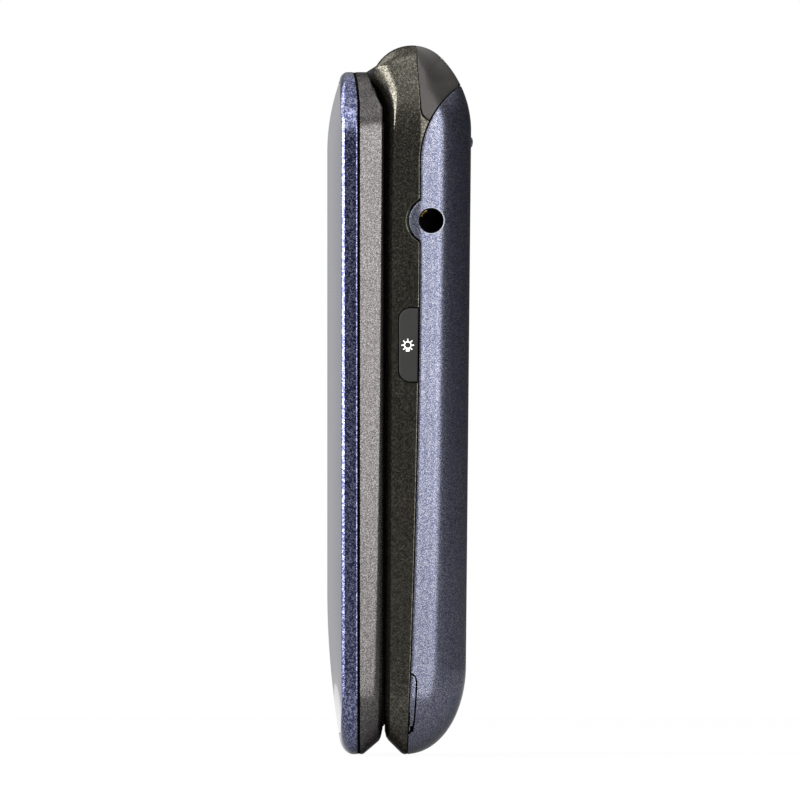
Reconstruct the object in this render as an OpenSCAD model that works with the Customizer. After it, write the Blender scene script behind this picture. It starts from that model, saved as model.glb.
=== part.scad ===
// Folding mobile phone, closed: a lid and a keypad half joined by one hinge barrel at the top.
// X is the width, Y the depth from the lid (-) to the back (+), Z the height. Millimetres.

/* [Overall] */
// Width over both halves
phone_w = 54; // [53:0.5:58]
// Height from the bottom end to the top of the hinge barrel
phone_h = 108; // [106:0.5:114]
// How far each side leans in from its seam to its face
side_draft = 0.6; // [0.3:0.1:0.8]
// Corner radius at the bottom end, seen from the front
corner_bottom = 9; // [7:0.5:10]
// Corner radius at the hinge end, seen from the front
corner_top = 7; // [5:0.5:8]
// Width of the visible seams between two shells
seam_gap = 0.12; // [0.08:0.01:0.2]
// Wall thickness of the plastic shells
wall = 1.2; // [1:0.05:1.3]
// Play around a piece that sits in a pocket
play = 0.15; // [0.1:0.01:0.2]

/* [Lid] */
// Height of the crown on the outer face
lid_crown = 2.58; // [2:0.05:3]
// Side height of the outer cover
lid_cover_t = 2.07; // [2:0.05:2.6]
// Side height of the inner frame
lid_frame_t = 3.85; // [3.8:0.05:4.6]
// Gap between the closed lid and the body
lid_gap = 0.3; // [0.25:0.01:0.4]
// How far the lid reaches above the hinge axis
lid_over = 2.5; // [2:0.1:2.6]
// Length over which the crown falls away at the bottom
fall_bottom = 25; // [20:1:32]
// Length over which the crown falls away at the top
fall_top = 12; // [9:0.5:15]
// Width of the painted rim around the front plate
rim_w = 0.9; // [0.7:0.1:1.4]
// Depth of the front plate's seat in the cover
seat_t = 0.6; // [0.5:0.05:0.7]
// Distance of the inner display lens from the phone's sides
lens_side = 5; // [4.5:0.1:7]
// Height of the inner display lens's lower edge
lens_bottom = 13; // [12.5:0.1:16]
// Distance of the inner display lens's upper edge below the hinge axis
lens_top = 20.6; // [20:0.1:26]
// Width of the outer display
outer_w = 29; // [24:0.5:31]
// Height of the outer display
outer_h = 24; // [18:0.5:26]
// Radius of the camera block
camera_r = 3.2; // [2.8:0.1:3.6]
// Thickness of the inner display lens
lens_t = 0.8; // [0.7:0.05:0.9]

/* [Body] */
// Side height of the keypad frame where it is deepest
body_frame_t = 5.4; // [5.3:0.05:6]
// Depth of the rear cover behind the seam
cover_t = 7.8; // [7.7:0.1:9]
// How far the seam sweeps towards the lid at the bottom end
seam_sweep = 2; // [1:0.1:2.2]
// Height of the two rest nubs on the back
nub_h = 0.3; // [0.2:0.05:0.5]
// How far the back leans in from top to bottom
back_lean = 0.8; // [0.4:0.05:0.9]
// Blend radius from the hinge barrel to the back
shoulder_r = 16; // [15:0.5:18]
// Height of the rounding at the bottom of the back
heel_h = 13.5; // [11:0.5:14]
// Thickness of the battery
battery_t = 4.4; // [3.8:0.1:4.5]
// Height of the battery's lower end
battery_z = 17; // [16.5:0.1:20]
// Distance of the battery's upper end below the hinge axis
bay_top = 39.65; // [39:0.05:46]
// Distance of the battery from the phone's sides
bay_side = 9; // [8:0.1:12]

/* [Hinge] */
// Radius of the hinge barrel
barrel_r = 6.35; // [6.2:0.05:6.5]
// Distance of the hinge axis behind the body's front face
hinge_back = 4.2; // [4:0.05:4.4]
// Length of the lid's middle knuckle
knuckle_w = 28; // [24:0.5:30]
// Gap between the lid's middle knuckle and each end knuckle
knuckle_gap = 0.25; // [0.15:0.01:0.4]
// Clearance of the lid around the end knuckles
sweep_gap = 0.85; // [0.8:0.05:1]
// Radius of the hinge pin
pin_r = 1.6; // [1.4:0.05:1.8]
// Outer radius of the hinge can and of the hollow bush
can_r = 3; // [2.8:0.05:3.1]
// Running clearance of the hinge, on the radius
run_gap = 0.05; // [0.03:0.01:0.08]

/* [Keys] */
// Distance of the outer keys from the phone's side
key_side = 5; // [4.6:0.1:6]
// Gap between two keys side by side
key_gap_x = 1.6; // [1.3:0.1:2]
// Gap between two rows of keys
key_gap_z = 2.2; // [1.4:0.1:2.6]
// Height of the keypad's lower edge
pad_bottom = 10.2; // [9.8:0.1:12]
// Distance of the keypad's upper edge below the hinge axis
pad_top = 18.85; // [18:0.05:22]
// Width of the scroll key
scroll_w = 15; // [13:0.5:16]
// Travel of a key
travel = 0.3; // [0.2:0.01:0.35]
// Thickness of the keypad plate
plate_t = 1.5; // [1.3:0.05:1.6]
// Height of the scroll key
scroll_h = 26; // [23:0.5:27]

/* [Sides] */
// Radius of the bore of the headphone jack
jack_r = 1.8; // [1.76:0.02:1.9]
// Radius of the hole in the rear cover over the jack
jack_hole_r = 1.95; // [1.94:0.01:2.1]
// Radius of the rear cover's eyelet around the jack
eyelet_r = 3.46; // [3.3:0.05:3.6]
// Distance of the jack's axis below the hinge axis
jack_drop = 20.35; // [19.8:0.05:21]
// Length of the torch key
torch_key_h = 11.5; // [10:0.1:13]
// Width of the torch key
torch_key_w = 3.1; // [2.8:0.05:3.2]
// Distance of the side keys' middle below the hinge axis
side_drop = 39.25; // [37:0.05:42]
// Length of the volume rocker
volume_h = 20; // [17:0.5:22]

/* [Hidden] */
eps = 0.01;
big = 200;
hw = phone_w / 2;

// Depths, from the lid's crown to the back
total_t = lid_crown + lid_cover_t + lid_frame_t + lid_gap + body_frame_t + cover_t + nub_h;
y_apex = -total_t / 2;
y_edge = y_apex + lid_crown;
y_lid_seam = y_edge + lid_cover_t;
y_lid_in = y_lid_seam + lid_frame_t;
y_face = y_lid_in + lid_gap;
y_seam = y_face + body_frame_t;
y_back = y_seam + cover_t;

// Hinge axis and the heights that hang from it
hinge_y = y_face + hinge_back;
hinge_z = phone_h - barrel_r;
lid_top = hinge_z + lid_over;
cavity_top = hinge_z - barrel_r - sweep_gap - 1.4;
shoulder_y = y_back - shoulder_r;
shoulder_z = hinge_z - sqrt(pow(shoulder_r - barrel_r, 2) - pow(shoulder_y - hinge_y, 2));
shoulder_a = atan2(hinge_z - shoulder_z, hinge_y - shoulder_y);
seat_r = can_r + 1.15;
slot_r = barrel_r + 1.4;
slot_w = knuckle_w + 2 * knuckle_gap;
knuckle_x = hw - 0.1;
dome_x = 2.6;
dome_r = 1.7;

// Cover edge under the top cap
cap_z = hinge_z - 11.65;
cap_r = 14.6;

// Levels inside the lid
y_seat = y_edge + seat_t;
y_lid_floor = y_seat + 0.8;
y_lid_board = y_lid_floor + 0.8;
y_ledge = y_lid_in - 1.5;
y_boss = y_lid_seam + 0.5;

// Levels inside the body
y_plate = y_face + plate_t;
y_flange = y_plate + 0.5;
y_mat = y_flange + travel + 0.1;
y_dome = y_mat + 0.5;
y_board = y_dome + 0.3;
y_board_back = y_board + 0.8;
y_floor = y_board_back + 1.7;
y_bay = y_floor + 0.8;
y_wall_top = y_bay + 3.4;

// Side keys: depth of the pocket's front, flange thickness, height above the side, rocking gap
side_lip = 1.2;
side_flange = 1;
side_proud = 0.1;
rock_gap = 0.1;

// Displays in the lid
lens_w = phone_w - 2 * lens_side;
lens_h = hinge_z - lens_top - lens_bottom;
lens_z = lens_bottom + lens_h / 2;
bezel = 3;
outer_z = lens_z + 14;
camera_z = outer_z + outer_h / 2 + camera_r + 3.3;
earpiece_z = 8.6;

// Screws, stops and magnet of the lid
lid_screw_z = [7.6, cavity_top - 5.5];
lid_screw_x = hw - 8;
bumper_x = lid_screw_x - 8;
magnet_x = lid_screw_x - 4.5;

// Keypad: the rows share what the scroll key leaves free
key_w = (phone_w - 2 * key_side - 2 * key_gap_x) / 3;
pitch_x = key_w + key_gap_x;
key_h = (hinge_z - pad_top - pad_bottom - scroll_h - 4 * key_gap_z) / 4;
pitch_z = key_h + key_gap_z;
row_z = pad_bottom + key_h / 2;
control_z = hinge_z - pad_top - scroll_h / 2;
side_key_w = hw - key_side - scroll_w / 2 - key_gap_z;
side_key_x = hw - key_side - side_key_w / 2;
side_key_h = (scroll_h - key_gap_z) / 2 - 1.2;
side_key_z = (side_key_h + key_gap_z) / 2;

// Places of the pieces inside the body
screw_x = hw - 6.6;
screw_z = [6, cavity_top - 4.2];
battery_w = phone_w - 2 * bay_side;
battery_h = hinge_z - bay_top - battery_z;
shield_h = (battery_h - 5) / 2;
jack_z = hinge_z - jack_drop;
jack_y = y_seam + 1.69;
jack_len = 13;
socket_z = jack_z;
torch_key_z = hinge_z - side_drop;
motor_z = 10.4;
motor_y = y_bay + 2.1;
antenna_x = 3.5;
antenna_w = screw_x - 1.9 - antenna_x;
torch_x = (slot_w / 2 + knuckle_x - dome_x) / 2;
torch_a = 47;
speaker_w = 14;
speaker_h = 10;
speaker_z = cavity_top - speaker_h / 2 - 1.3;
can_end = knuckle_x - dome_x - 1.3;

// Points of an arc around c, from angle a to angle b
function arc(c, r, a, b, n = 8) = [for (i = [0:n]) c + r * [cos(a + (b - a) * i / n), sin(a + (b - a) * i / n)]];

// Depth of the lid's crown at a height, on the middle line
function crown_y(z) = y_apex + lid_crown * pow(max(0, (fall_bottom - z) / fall_bottom,
    (z - lid_top + fall_top) / fall_top), 2);

// Depth of the seam between the keypad frame and the rear cover at a height
function seam_y(z) = y_seam - seam_sweep * pow(max(0, (cap_z - z) / cap_z), 2);

// Depth of the back at a height above the heel
function back_y(z) = y_back - back_lean * (shoulder_z - z) / (shoulder_z - heel_h);

// Outline seen from the front, with round corners
module outline(top) {
    b = corner_bottom;
    t = corner_top;
    polygon(concat(arc([hw - b, b], b, 270, 360), arc([hw - t, top - t], t, 0, 90),
        arc([t - hw, top - t], t, 90, 180), arc([b - hw, b], b, 180, 270)));
}

// Profile of the lid seen from the side
module lid_profile() {
    n = 10;
    polygon(concat([[y_lid_in, 3.8], [y_lid_in, lid_top], [y_edge + 0.9, lid_top], [y_edge + 0.25, lid_top - 0.25]],
        [for (i = [0:n]) let (z = lid_top - 0.7 - fall_top * i / n) [crown_y(z), z]],
        [for (i = [0:n]) let (z = fall_bottom - (fall_bottom - 1.8) * i / n) [crown_y(z), z]],
        [[y_edge + 0.5, 0.75], [y_edge + 1.4, 0], [y_lid_in - 3.1, 0], [y_lid_in - 0.45, 2.3]]));
}

// Profile of the body seen from the side
module body_profile() {
    b = y_seam - seam_sweep;
    d = back_y(heel_h) - b;
    n = 9;
    polygon(concat([[y_face, hinge_z], [y_face, 3.6], [y_face + 0.25, 2.5], [y_face + 2.5, 0.3], [b - 0.6, 0]],
        [for (i = [0:n]) [b + d * sin(90 * i / n), heel_h - heel_h * cos(90 * i / n)]],
        arc([shoulder_y, shoulder_z], shoulder_r, 0, shoulder_a, 9),
        arc([hinge_y, hinge_z], barrel_r, shoulder_a + 9, 180, 15)));
}

// Section of the lid seen from above
module lid_section() {
    n = 14;
    e = hw - 0.5 * side_draft;
    polygon(concat([for (i = [0:n]) let (x = -e + 2 * e * i / n) [x, y_edge - lid_crown * (1 - pow(x / e, 2))]],
        [[hw, y_lid_seam], [hw - side_draft, y_lid_in], [side_draft - hw, y_lid_in], [-hw, y_lid_seam]]));
}

// Section of the body seen from above
module body_section() {
    d = hw - side_draft;
    f = y_face - 4;
    m = y_seam + 2.6;
    t = y_back - m;
    n = 8;
    right = concat([[d, f], [d, y_face], [hw, y_face + 4.2], [hw, y_seam]],
        [for (i = [0:n]) [hw - 0.2 - 7 * (1 - cos(90 * i / n)), m + t * sin(90 * i / n)]]);
    left = [for (i = [len(right) - 1:-1:0]) [-right[i][0], right[i][1]]];
    polygon(concat(right, left));
}

// Runs a side profile across the width
module across(x0 = -big / 2, x1 = big / 2) {
    translate([x0, 0, 0])
        rotate([90, 0, 90])
            linear_extrude(x1 - x0)
                children();
}

// Runs a front outline through the depth
module through(y0 = -big / 2, y1 = big / 2) {
    translate([0, y1, 0])
        rotate([90, 0, 0])
            linear_extrude(y1 - y0)
                children();
}

// Box from one corner to the other
module box(a, b) {
    translate(a)
        cube(b - a);
}

// Rounded plate between two depths, centred on x and z
module plate(w, h, r, y0, y1, x = 0, z = 0) {
    a = w / 2 - r;
    b = h / 2 - r;
    translate([x, 0, z])
        through(y0, y1)
            polygon(concat(arc([a, -b], r, 270, 360, 5), arc([a, b], r, 0, 90, 5), arc([-a, b], r, 90, 180, 5),
                arc([-a, -b], r, 180, 270, 5)));
}

// Round rod along the depth
module rod(r, y0, y1, x = 0, z = 0) {
    translate([x, y1, z])
        rotate([90, 0, 0])
            cylinder(r = r, h = y1 - y0, $fn = 48);
}

// Round rod across the width, on the hinge axis unless told otherwise
module pin(r, x0, x1, y = hinge_y, z = hinge_z) {
    translate([x0, y, z])
        rotate([0, 90, 0])
            cylinder(r = r, h = x1 - x0, $fn = 64);
}

// Barrel with one domed end, turned around the hinge axis
module domed(r, x0, x1, side) {
    translate([0, hinge_y, hinge_z])
        rotate([0, 90 * side, 0])
            rotate_extrude($fn = 64)
                polygon(concat([[0, x0], [r, x0]],
                    [for (i = [0:6]) [r - dome_r * (1 - cos(15 * i)), x1 - dome_x + dome_x * sin(15 * i)]],
                    [[0, x1]]));
}

// Solid outer shape of the lid, drawn in by d
module lid_solid(d = 0) {
    intersection() {
        across()
            offset(delta = -d)
                lid_profile();
        through()
            offset(delta = -d)
                outline(lid_top);
        linear_extrude(big)
            offset(delta = -d)
                lid_section();
    }
}

// Solid outer shape of the body, drawn in by d
module body_solid(d = 0) {
    intersection() {
        across()
            offset(delta = -d)
                body_profile();
        through()
            offset(delta = -d)
                outline(phone_h);
        linear_extrude(big)
            offset(delta = -d)
                body_section();
    }
}

// Seam curve of the rear cover, from the bottom end to the cap's edge
function seam_line() = [for (i = [0:9]) let (z = -1 + (cap_z + 1) * i / 9) [seam_y(z), z]];
function cap_line(a) = arc([y_seam + cap_r, cap_z], cap_r, 180, 180 - a, 8);

// Side view of the part that is the rear cover
module cover_zone() {
    offset(delta = -seam_gap / 2)
        polygon(concat(seam_line(), cap_line(75), [[y_back + 5, cap_z], [y_back + 5, -1]]));
}

// Front edge of the top cap, from its lower corner to the top
function cap_front() = [[y_seam + 1.2, cap_z + 6.6], [y_seam + 0.5, cap_z + 7.1], [y_seam + 0.15, cap_z + 8],
    [y_seam, cap_z + 10], [y_seam - 0.3, cap_z + 14.5], [y_seam - 0.65, phone_h + 1]];

// Side view of the part that is the keypad frame
module frame_zone() {
    offset(delta = -seam_gap / 2)
        polygon(concat(seam_line(), cap_line(24), cap_front(), [[-big / 2, phone_h + 1], [-big / 2, -1]]));
}

// Side view of the part that is the top cap
module cap_zone() {
    arcs = cap_line(75);
    offset(delta = -seam_gap / 2)
        difference() {
            polygon(concat(cap_front(), [[y_back + 3, phone_h + 1], [y_back + 3, cap_z + 6.6]]));
            polygon(concat(arcs, [[y_back + 5, cap_z + 12], [y_back + 5, cap_z]]));
        }
}

// Crowned glossy plate on the lid's outer face, hollow behind for the outer display and camera
module lid_plate() {
    color("slategray")
        difference() {
            intersection() {
                lid_solid();
                through(y_apex - 1, y_seat)
                    offset(delta = -rim_w)
                        outline(lid_top);
            }
            plate(outer_w + 2, outer_h + 2 * camera_r + 6.6, 2, y_apex + 1.75, y_seat + 1, 0, outer_z + camera_r + 1.8);
        }
}

// Painted outer cover: a tray with a seat for the plate and four screw bosses
module lid_cover() {
    color("midnightblue") {
        difference() {
            intersection() {
                lid_solid();
                box([-hw, y_apex - 1, -1], [hw, y_lid_seam - seam_gap / 2, lid_top + 1]);
            }
            through(y_apex - 2, y_seat)
                offset(delta = -rim_w)
                    outline(lid_top);
            through(y_lid_floor, y_lid_seam + 1)
                offset(delta = -wall)
                    outline(lid_top);
            rod(camera_r, y_apex, y_lid_seam, 0, camera_z);
        }
        for (s = [-1, 1], z = lid_screw_z)
            difference() {
                rod(1.8, y_lid_floor - eps, y_boss, s * lid_screw_x, z);
                rod(0.7, y_lid_floor, y_boss + 1, s * lid_screw_x, z);
            }
    }
}

// Small display behind the plate
module outer_display() {
    color("black")
        plate(outer_w, outer_h, 0.6, y_seat - 1.3, y_seat, 0, outer_z);
}

// Camera block and lens barrel behind the plate, standing on the lid's board
module camera_module() {
    color("dimgray") {
        rod(camera_r, y_seat - 1.3, y_lid_floor, 0, camera_z);
        rod(camera_r - 1, y_apex + 1.75, y_seat - 1.3 + eps, 0, camera_z);
    }
}

// Circuit board of the lid
module lid_board() {
    color("darkgreen")
        plate(lens_w - 1, lens_h, 2, y_lid_floor, y_lid_board, 0, lens_z);
}

// Main display, held against the frame's ledge
module main_display() {
    color("darkslategray")
        plate(lens_w - bezel, lens_h - bezel, 0.8, y_lid_board + play, y_ledge, 0, lens_z);
}

// Cut-out of the lid around one end knuckle
module knuckle_sweep(s) {
    r = barrel_r + sweep_gap;
    domed(r, slot_w / 2 - 2 * knuckle_gap, hw - 0.5, s);
    domed(r - dome_r, hw - 0.6, hw + dome_x + 1, s);
}

// Inner frame of the lid with the middle knuckle
module lid_frame() {
    k = knuckle_w / 2;
    color("dimgray") {
        difference() {
            union() {
                difference() {
                    intersection() {
                        lid_solid();
                        box([-hw, y_lid_seam + seam_gap / 2, -1], [hw, y_lid_in, lid_top + 1]);
                    }
                    intersection() {
                        through(y_lid_seam - 1, y_ledge)
                            offset(delta = -wall - side_draft)
                                outline(lid_top);
                        box([-hw, y_apex, 3.4], [hw, y_face, cavity_top]);
                    }
                    for (s = [-1, 1])
                        knuckle_sweep(s);
                }
                pin(barrel_r, -k, k);
                across(-k, k)
                    polygon([[y_lid_in - 2.7, lid_top], [hinge_y - 5.35, hinge_z + 3.42], [hinge_y, hinge_z],
                        [y_lid_in - 2.7, hinge_z]]);
            }
            pin(pin_r, 2, k + 1);
            pin(can_r, -k - 1, -3);
            plate(lens_w + 2 * play, lens_h + 2 * play, 2 + play, y_lid_in - lens_t - 0.05, y_face, 0, lens_z);
            plate(lens_w - 2 * bezel, lens_h - 2.7 * bezel, 1, y_ledge - 1, y_lid_in, 0, lens_z);
            plate(10 + 2 * play, 1.8 + 2 * play, 0.9 + play, y_lid_in - 0.6, y_face, 0, earpiece_z);
            plate(8.4, 0.9, 0.4, y_ledge - 1, y_lid_in, 0, earpiece_z);
            for (s = [-1, 1], z = lid_screw_z) {
                rod(1.5, y_lid_in - 0.75, y_face, s * lid_screw_x, z);
                rod(0.8, y_ledge - 1, y_face, s * lid_screw_x, z);
                rod(1.6, y_lid_in - 0.6, y_face, s * bumper_x, z);
            }
        }
        for (s = [-1, 1], z = lid_screw_z)
            difference() {
                rod(1.8, y_boss, y_ledge + eps, s * lid_screw_x, z);
                rod(0.8, y_boss - 1, y_ledge + 1, s * lid_screw_x, z);
            }
    }
}

// Clear lens over the main display
module display_lens() {
    color("black")
        plate(lens_w, lens_h, 2, y_lid_in - lens_t - 0.05, y_lid_in - 0.05, 0, lens_z);
}

// Earpiece capsule at the free end of the lid
module earpiece() {
    color("silver")
        plate(12, 5, 2.4, y_ledge - 2, y_ledge, 0, earpiece_z);
}

// Pierced strip over the earpiece
module earpiece_grille() {
    color("gainsboro")
        difference() {
            plate(10, 1.8, 0.9, y_lid_in - 0.6, y_lid_in - 0.05, 0, earpiece_z);
            for (i = [-4:4])
                rod(0.3, y_lid_in - 1, y_lid_in + 1, i * 0.9, earpiece_z);
        }
}

// Four rubber stops that meet the body's face
module lid_bumpers() {
    color("black")
        for (s = [-1, 1], z = lid_screw_z)
            rod(1.6, y_lid_in - 0.6, y_lid_in + lid_gap - 0.05, s * bumper_x, z);
}

// Four screws through the inner frame into the outer cover
module lid_screws() {
    color("gray")
        for (s = [-1, 1], z = lid_screw_z)
            difference() {
                union() {
                    rod(1.35, y_lid_in - 0.75, y_lid_in - 0.1, s * lid_screw_x, z);
                    rod(0.7, y_lid_floor, y_lid_in - 0.7, s * lid_screw_x, z);
                }
                box([s * lid_screw_x - 0.9, y_lid_in - 0.4, z - 0.15], [s * lid_screw_x + 0.9, y_face, z + 0.15]);
                box([s * lid_screw_x - 0.15, y_lid_in - 0.4, z - 0.9], [s * lid_screw_x + 0.15, y_face, z + 0.9]);
            }
}

// Magnet that tells the body when the lid is shut
module lid_magnet() {
    color("silver")
        rod(2, y_ledge - 1.5, y_ledge, magnet_x, cavity_top - 8);
}

// Hinge pin, fast in the lid's knuckle and turning in the hinge can
module hinge_pin() {
    color("silver")
        pin(pin_r, 2, can_end - 0.5);
}

// Hollow bush, fast in the lid's knuckle and turning in the keypad frame, with the flexible circuit's way inside
module hinge_bush() {
    color("darkgray")
        difference() {
            pin(can_r, 1 - can_end, -3);
            pin(can_r - 0.8, -can_end, -2);
        }
}

// Keypad frame: front plate, side walls, both end knuckles and the hinge seats
module front_frame() {
    x0 = slot_w / 2;
    color("dimgray") {
        difference() {
            union() {
                difference() {
                    intersection() {
                        body_solid();
                        across()
                            frame_zone();
                        box([-hw, y_face, -1], [hw, y_back, cavity_top + 2.4]);
                    }
                    intersection() {
                        through(y_plate, y_back)
                            offset(delta = -wall - side_draft)
                                outline(phone_h);
                        box([-hw, y_apex, 2.6], [hw, y_back, cavity_top]);
                    }
                }
                for (s = [-1, 1]) {
                    intersection() {
                        domed(barrel_r, x0, knuckle_x, s);
                        across()
                            frame_zone();
                    }
                    intersection() {
                        body_solid();
                        across(s > 0 ? x0 : -hw, s > 0 ? hw : -x0)
                            frame_zone();
                        box([-hw, y_face + 2.2, cavity_top + 1], [hw, y_back, hinge_z + 1]);
                    }
                    pin(seat_r, s > 0 ? x0 : -knuckle_x + dome_x, s > 0 ? knuckle_x - dome_x : -x0);
                }
            }
            pin(slot_r, -x0, x0);
            pin(can_r, x0 - 1, can_end);
            pin(can_r + run_gap, 0.4 - can_end, -x0 + 1);
            for (k = keys())
                plate(k[3] + 2 * play, k[4] + 2 * play, k[5] + play, y_face - 1, y_plate + 1, k[1], k[2]);
            side_slots();
            rod(0.5, y_face - 1, y_plate + 1, 9, 5.4);
            through_x(eyelet_r + seam_gap, hw - wall - side_draft - 1, hw + 1);
            box([-hw - 1, y_board_back + 0.3, socket_z - 3.9], [-hw + 3, y_back, socket_z + 3.9]);
        }
        for (s = [-1, 1], z = screw_z)
            difference() {
                rod(1.8, y_plate - eps, y_board, s * screw_x, z);
                rod(0.7, y_plate + 0.4, y_board + 1, s * screw_x, z);
            }
    }
}

// Rod across the width on the jack's axis
module through_x(r, x0, x1) {
    pin(r, x0, x1, jack_y, jack_z);
}

// Slots of the torch key and of the volume rocker in the side walls, with pockets for their flanges
module side_slots() {
    y0 = y_seam - 0.22 - torch_key_w;
    for (k = [[1, torch_key_h], [-1, volume_h]]) {
        a = k[1] / 2;
        translate([k[0] > 0 ? hw - 3 : -hw - 3, 0, torch_key_z])
            rotate([90, 0, 90])
                linear_extrude(6)
                    offset(delta = play * 0.6)
                        side_key_shape(k[1], 1);
        box([k[0] > 0 ? hw - 3.4 : -hw + side_lip, y0 - 0.7, torch_key_z - a - 0.7],
            [k[0] > 0 ? hw - side_lip : -hw + 3.4, y_back, torch_key_z + a + 0.7]);
    }
}

// Side view of a side key: round at the front, following the seam behind
module side_key_shape(h, more = 0) {
    y0 = y_seam - 0.22 - torch_key_w;
    r = 2;
    polygon(concat([for (i = [-2:2]) [seam_y(torch_key_z + i * h / 4) - 0.12 + more, i * h / 4]],
        arc([y0 + r, h / 2 - r], r, 90, 180, 6), arc([y0 + r, r - h / 2], r, 180, 270, 6)));
}

// Cap behind the hinge, closed over the hinge seats, with the torch opening
module top_cap() {
    x0 = slot_w / 2;
    color("gray")
        difference() {
            intersection() {
                body_solid();
                across()
                    cap_zone();
            }
            pin(slot_r, -x0, x0);
            for (s = [-1, 1])
                pin(seat_r, s > 0 ? x0 - 1 : -hw - 1, s > 0 ? hw + 1 : -x0 + 1);
            along_torch(1.85, 5, 9);
            along_torch(1.3, 2, 6);
        }
    color("gray")
        for (s = [-1, 1])
            intersection() {
                domed(barrel_r, knuckle_x - dome_x, knuckle_x, s);
                across()
                    cap_zone();
            }
}

// Rod pointing up and back from the hinge axis, for the torch
module along_torch(r, a, b) {
    translate([torch_x, hinge_y, hinge_z])
        rotate([torch_a - 90, 0, 0])
            translate([0, 0, a])
                cylinder(r = r, h = b - a, $fn = 40);
}

// Inner housing: battery bay floor, bay walls and screw bosses
module rear_housing() {
    w = battery_w / 2 + 0.3;
    z0 = battery_z - 0.3;
    z1 = battery_z + battery_h + 0.3;
    color("darkslategray")
        difference() {
            union() {
                intersection() {
                    body_solid(wall + 0.35);
                    box([-hw, y_floor, 3.2], [hw, y_bay, cavity_top]);
                }
                difference() {
                    box([-w - 0.9, y_bay - eps, z0 - 0.9], [w + 0.9, y_wall_top, z1 + 0.9]);
                    box([-w, y_bay - 1, z0], [w, y_wall_top + 1, z1]);
                    box([-9, y_bay, z1 - 1], [9, y_wall_top + 1, z1 + 2]);
                }
                for (s = [-1, 1], z = screw_z)
                    rod(1.8, y_board_back, y_floor + eps, s * screw_x, z);
            }
            for (s = [-1, 1], z = screw_z)
                rod(0.8, y_board_back - 1, y_bay + 1, s * screw_x, z);
            box([hw - jack_len - 2.5, y_floor - 1, jack_z - 2.9], [hw, y_back, jack_z + 2.9]);
            box([-hw - 1, y_floor - 1, socket_z - 4.2], [-hw + 8.4, y_back, socket_z + 4.2]);
        }
}

// Rear cover: one shell with the jack's eyelet, speaker slots, four posts, two rest nubs and a nail notch
module rear_cover() {
    color("midnightblue") {
        difference() {
            union() {
                difference() {
                    intersection() {
                        body_solid();
                        across()
                            cover_zone();
                    }
                    body_solid(wall);
                }
                intersection() {
                    difference() {
                        body_solid();
                        body_solid(wall);
                    }
                    through_x(eyelet_r, hw - wall - side_draft, hw + 1);
                }
            }
            through_x(jack_hole_r, hw - 3, hw + 1);
            box([-hw - 1, y_face, socket_z - 3.9], [-hw + 3, y_board_back + 3.3, socket_z + 3.9]);
            for (i = [-2:2])
                plate(1, 5, 0.5, y_back - 3, y_back + 1, i * 2.2, speaker_z);
            box([hw - 0.5, y_face, 3.2], [hw + 1, seam_y(7) + 1, 12.4]);
        }
        for (s = [-1, 1]) {
            for (z = [battery_z - 0.75, battery_z + battery_h + 0.75])
                rod(0.45, y_wall_top, back_y(z) - wall + 0.3, s * (battery_w / 2 - 3), z);
            rod(0.75, back_y(93.3) - 0.5, y_back + nub_h, s * 8, shoulder_z - 1.6);
        }
    }
}

// Main circuit board, notched for nothing but its screws
module main_board() {
    color("darkgreen")
        difference() {
            intersection() {
                body_solid(wall + side_draft + 0.4);
                box([-hw + 3.2, y_board, 3.6], [hw - 3.2, y_board_back, cavity_top - 0.4]);
            }
            for (s = [-1, 1], z = screw_z)
                rod(0.8, y_board - 1, y_board_back + 1, s * screw_x, z);
        }
}

// Two soldered screening cans
module shield_cans() {
    color("silver") {
        for (s = [-1, 1])
            plate(battery_w - 2, shield_h, 1, y_board_back, y_board_back + 1.5, 0,
                battery_z + battery_h / 2 + s * (shield_h / 2 + 2.5));
    }
}

// Rubber mat under the keys
module keypad_mat() {
    color("gainsboro")
        plate(2 * pitch_x + key_w, control_z + scroll_h / 2 - pad_bottom, 2, y_mat, y_dome, 0,
            (control_z + scroll_h / 2 + pad_bottom) / 2);
}

// Snap domes on the board, one under each key
module key_domes() {
    color("gold")
        for (k = keys())
            if (k[0] != "scroll_key")
                rod(2.4, y_dome, y_board, k[1], k[2]);
    color("gold")
        for (s = [-1, 1])
            rod(2.4, y_dome, y_board, 0, control_z + s * scroll_h / 3);
}

// Battery block
module battery() {
    color("silver")
        plate(battery_w, battery_h, 1, y_bay, y_bay + battery_t, 0, battery_z + battery_h / 2);
}

// Three sprung contacts at the battery's upper end
module battery_contacts() {
    z1 = battery_z + battery_h;
    color("gold")
        for (i = [-1:1]) {
            box([i * 4 - 0.8, y_bay, z1], [i * 4 + 0.8, y_bay + 0.4, z1 + 3.4]);
            box([i * 4 - 0.8, y_bay, z1], [i * 4 + 0.8, y_bay + 2.2, z1 + 0.4]);
        }
}

// Metal bridge of a card slot, open at its lower end
module card_bridge(x, z, w, h) {
    difference() {
        box([x - w / 2, y_bay, z - h / 2], [x + w / 2, y_bay + 1.4, z + h / 2]);
        box([x - w / 2 + 0.8, y_bay - 1, z - h / 2 - 1], [x + w / 2 - 0.8, y_bay + 1, z + h / 2 - 0.6]);
    }
}

// Holder of the subscriber card
module sim_holder() {
    color("silver")
        card_bridge(-12.5, battery_z + battery_h + 8.4, 15, 10);
}

// Holder of the memory card
module card_holder() {
    color("silver")
        card_bridge(7, battery_z + battery_h + 9.4, 12, 8);
}

// Headphone jack block with its bore
module jack_socket() {
    x1 = hw - wall - side_draft - 0.25;
    color("black")
        difference() {
            union() {
                box([x1 - jack_len, y_board_back, jack_z - 2.7], [x1 - 1, jack_y + 2.7, jack_z + 2.7]);
                through_x(2.5, x1 - 1.2, x1);
            }
            through_x(jack_r, x1 - jack_len + 1, x1 + 1);
        }
}

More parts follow.
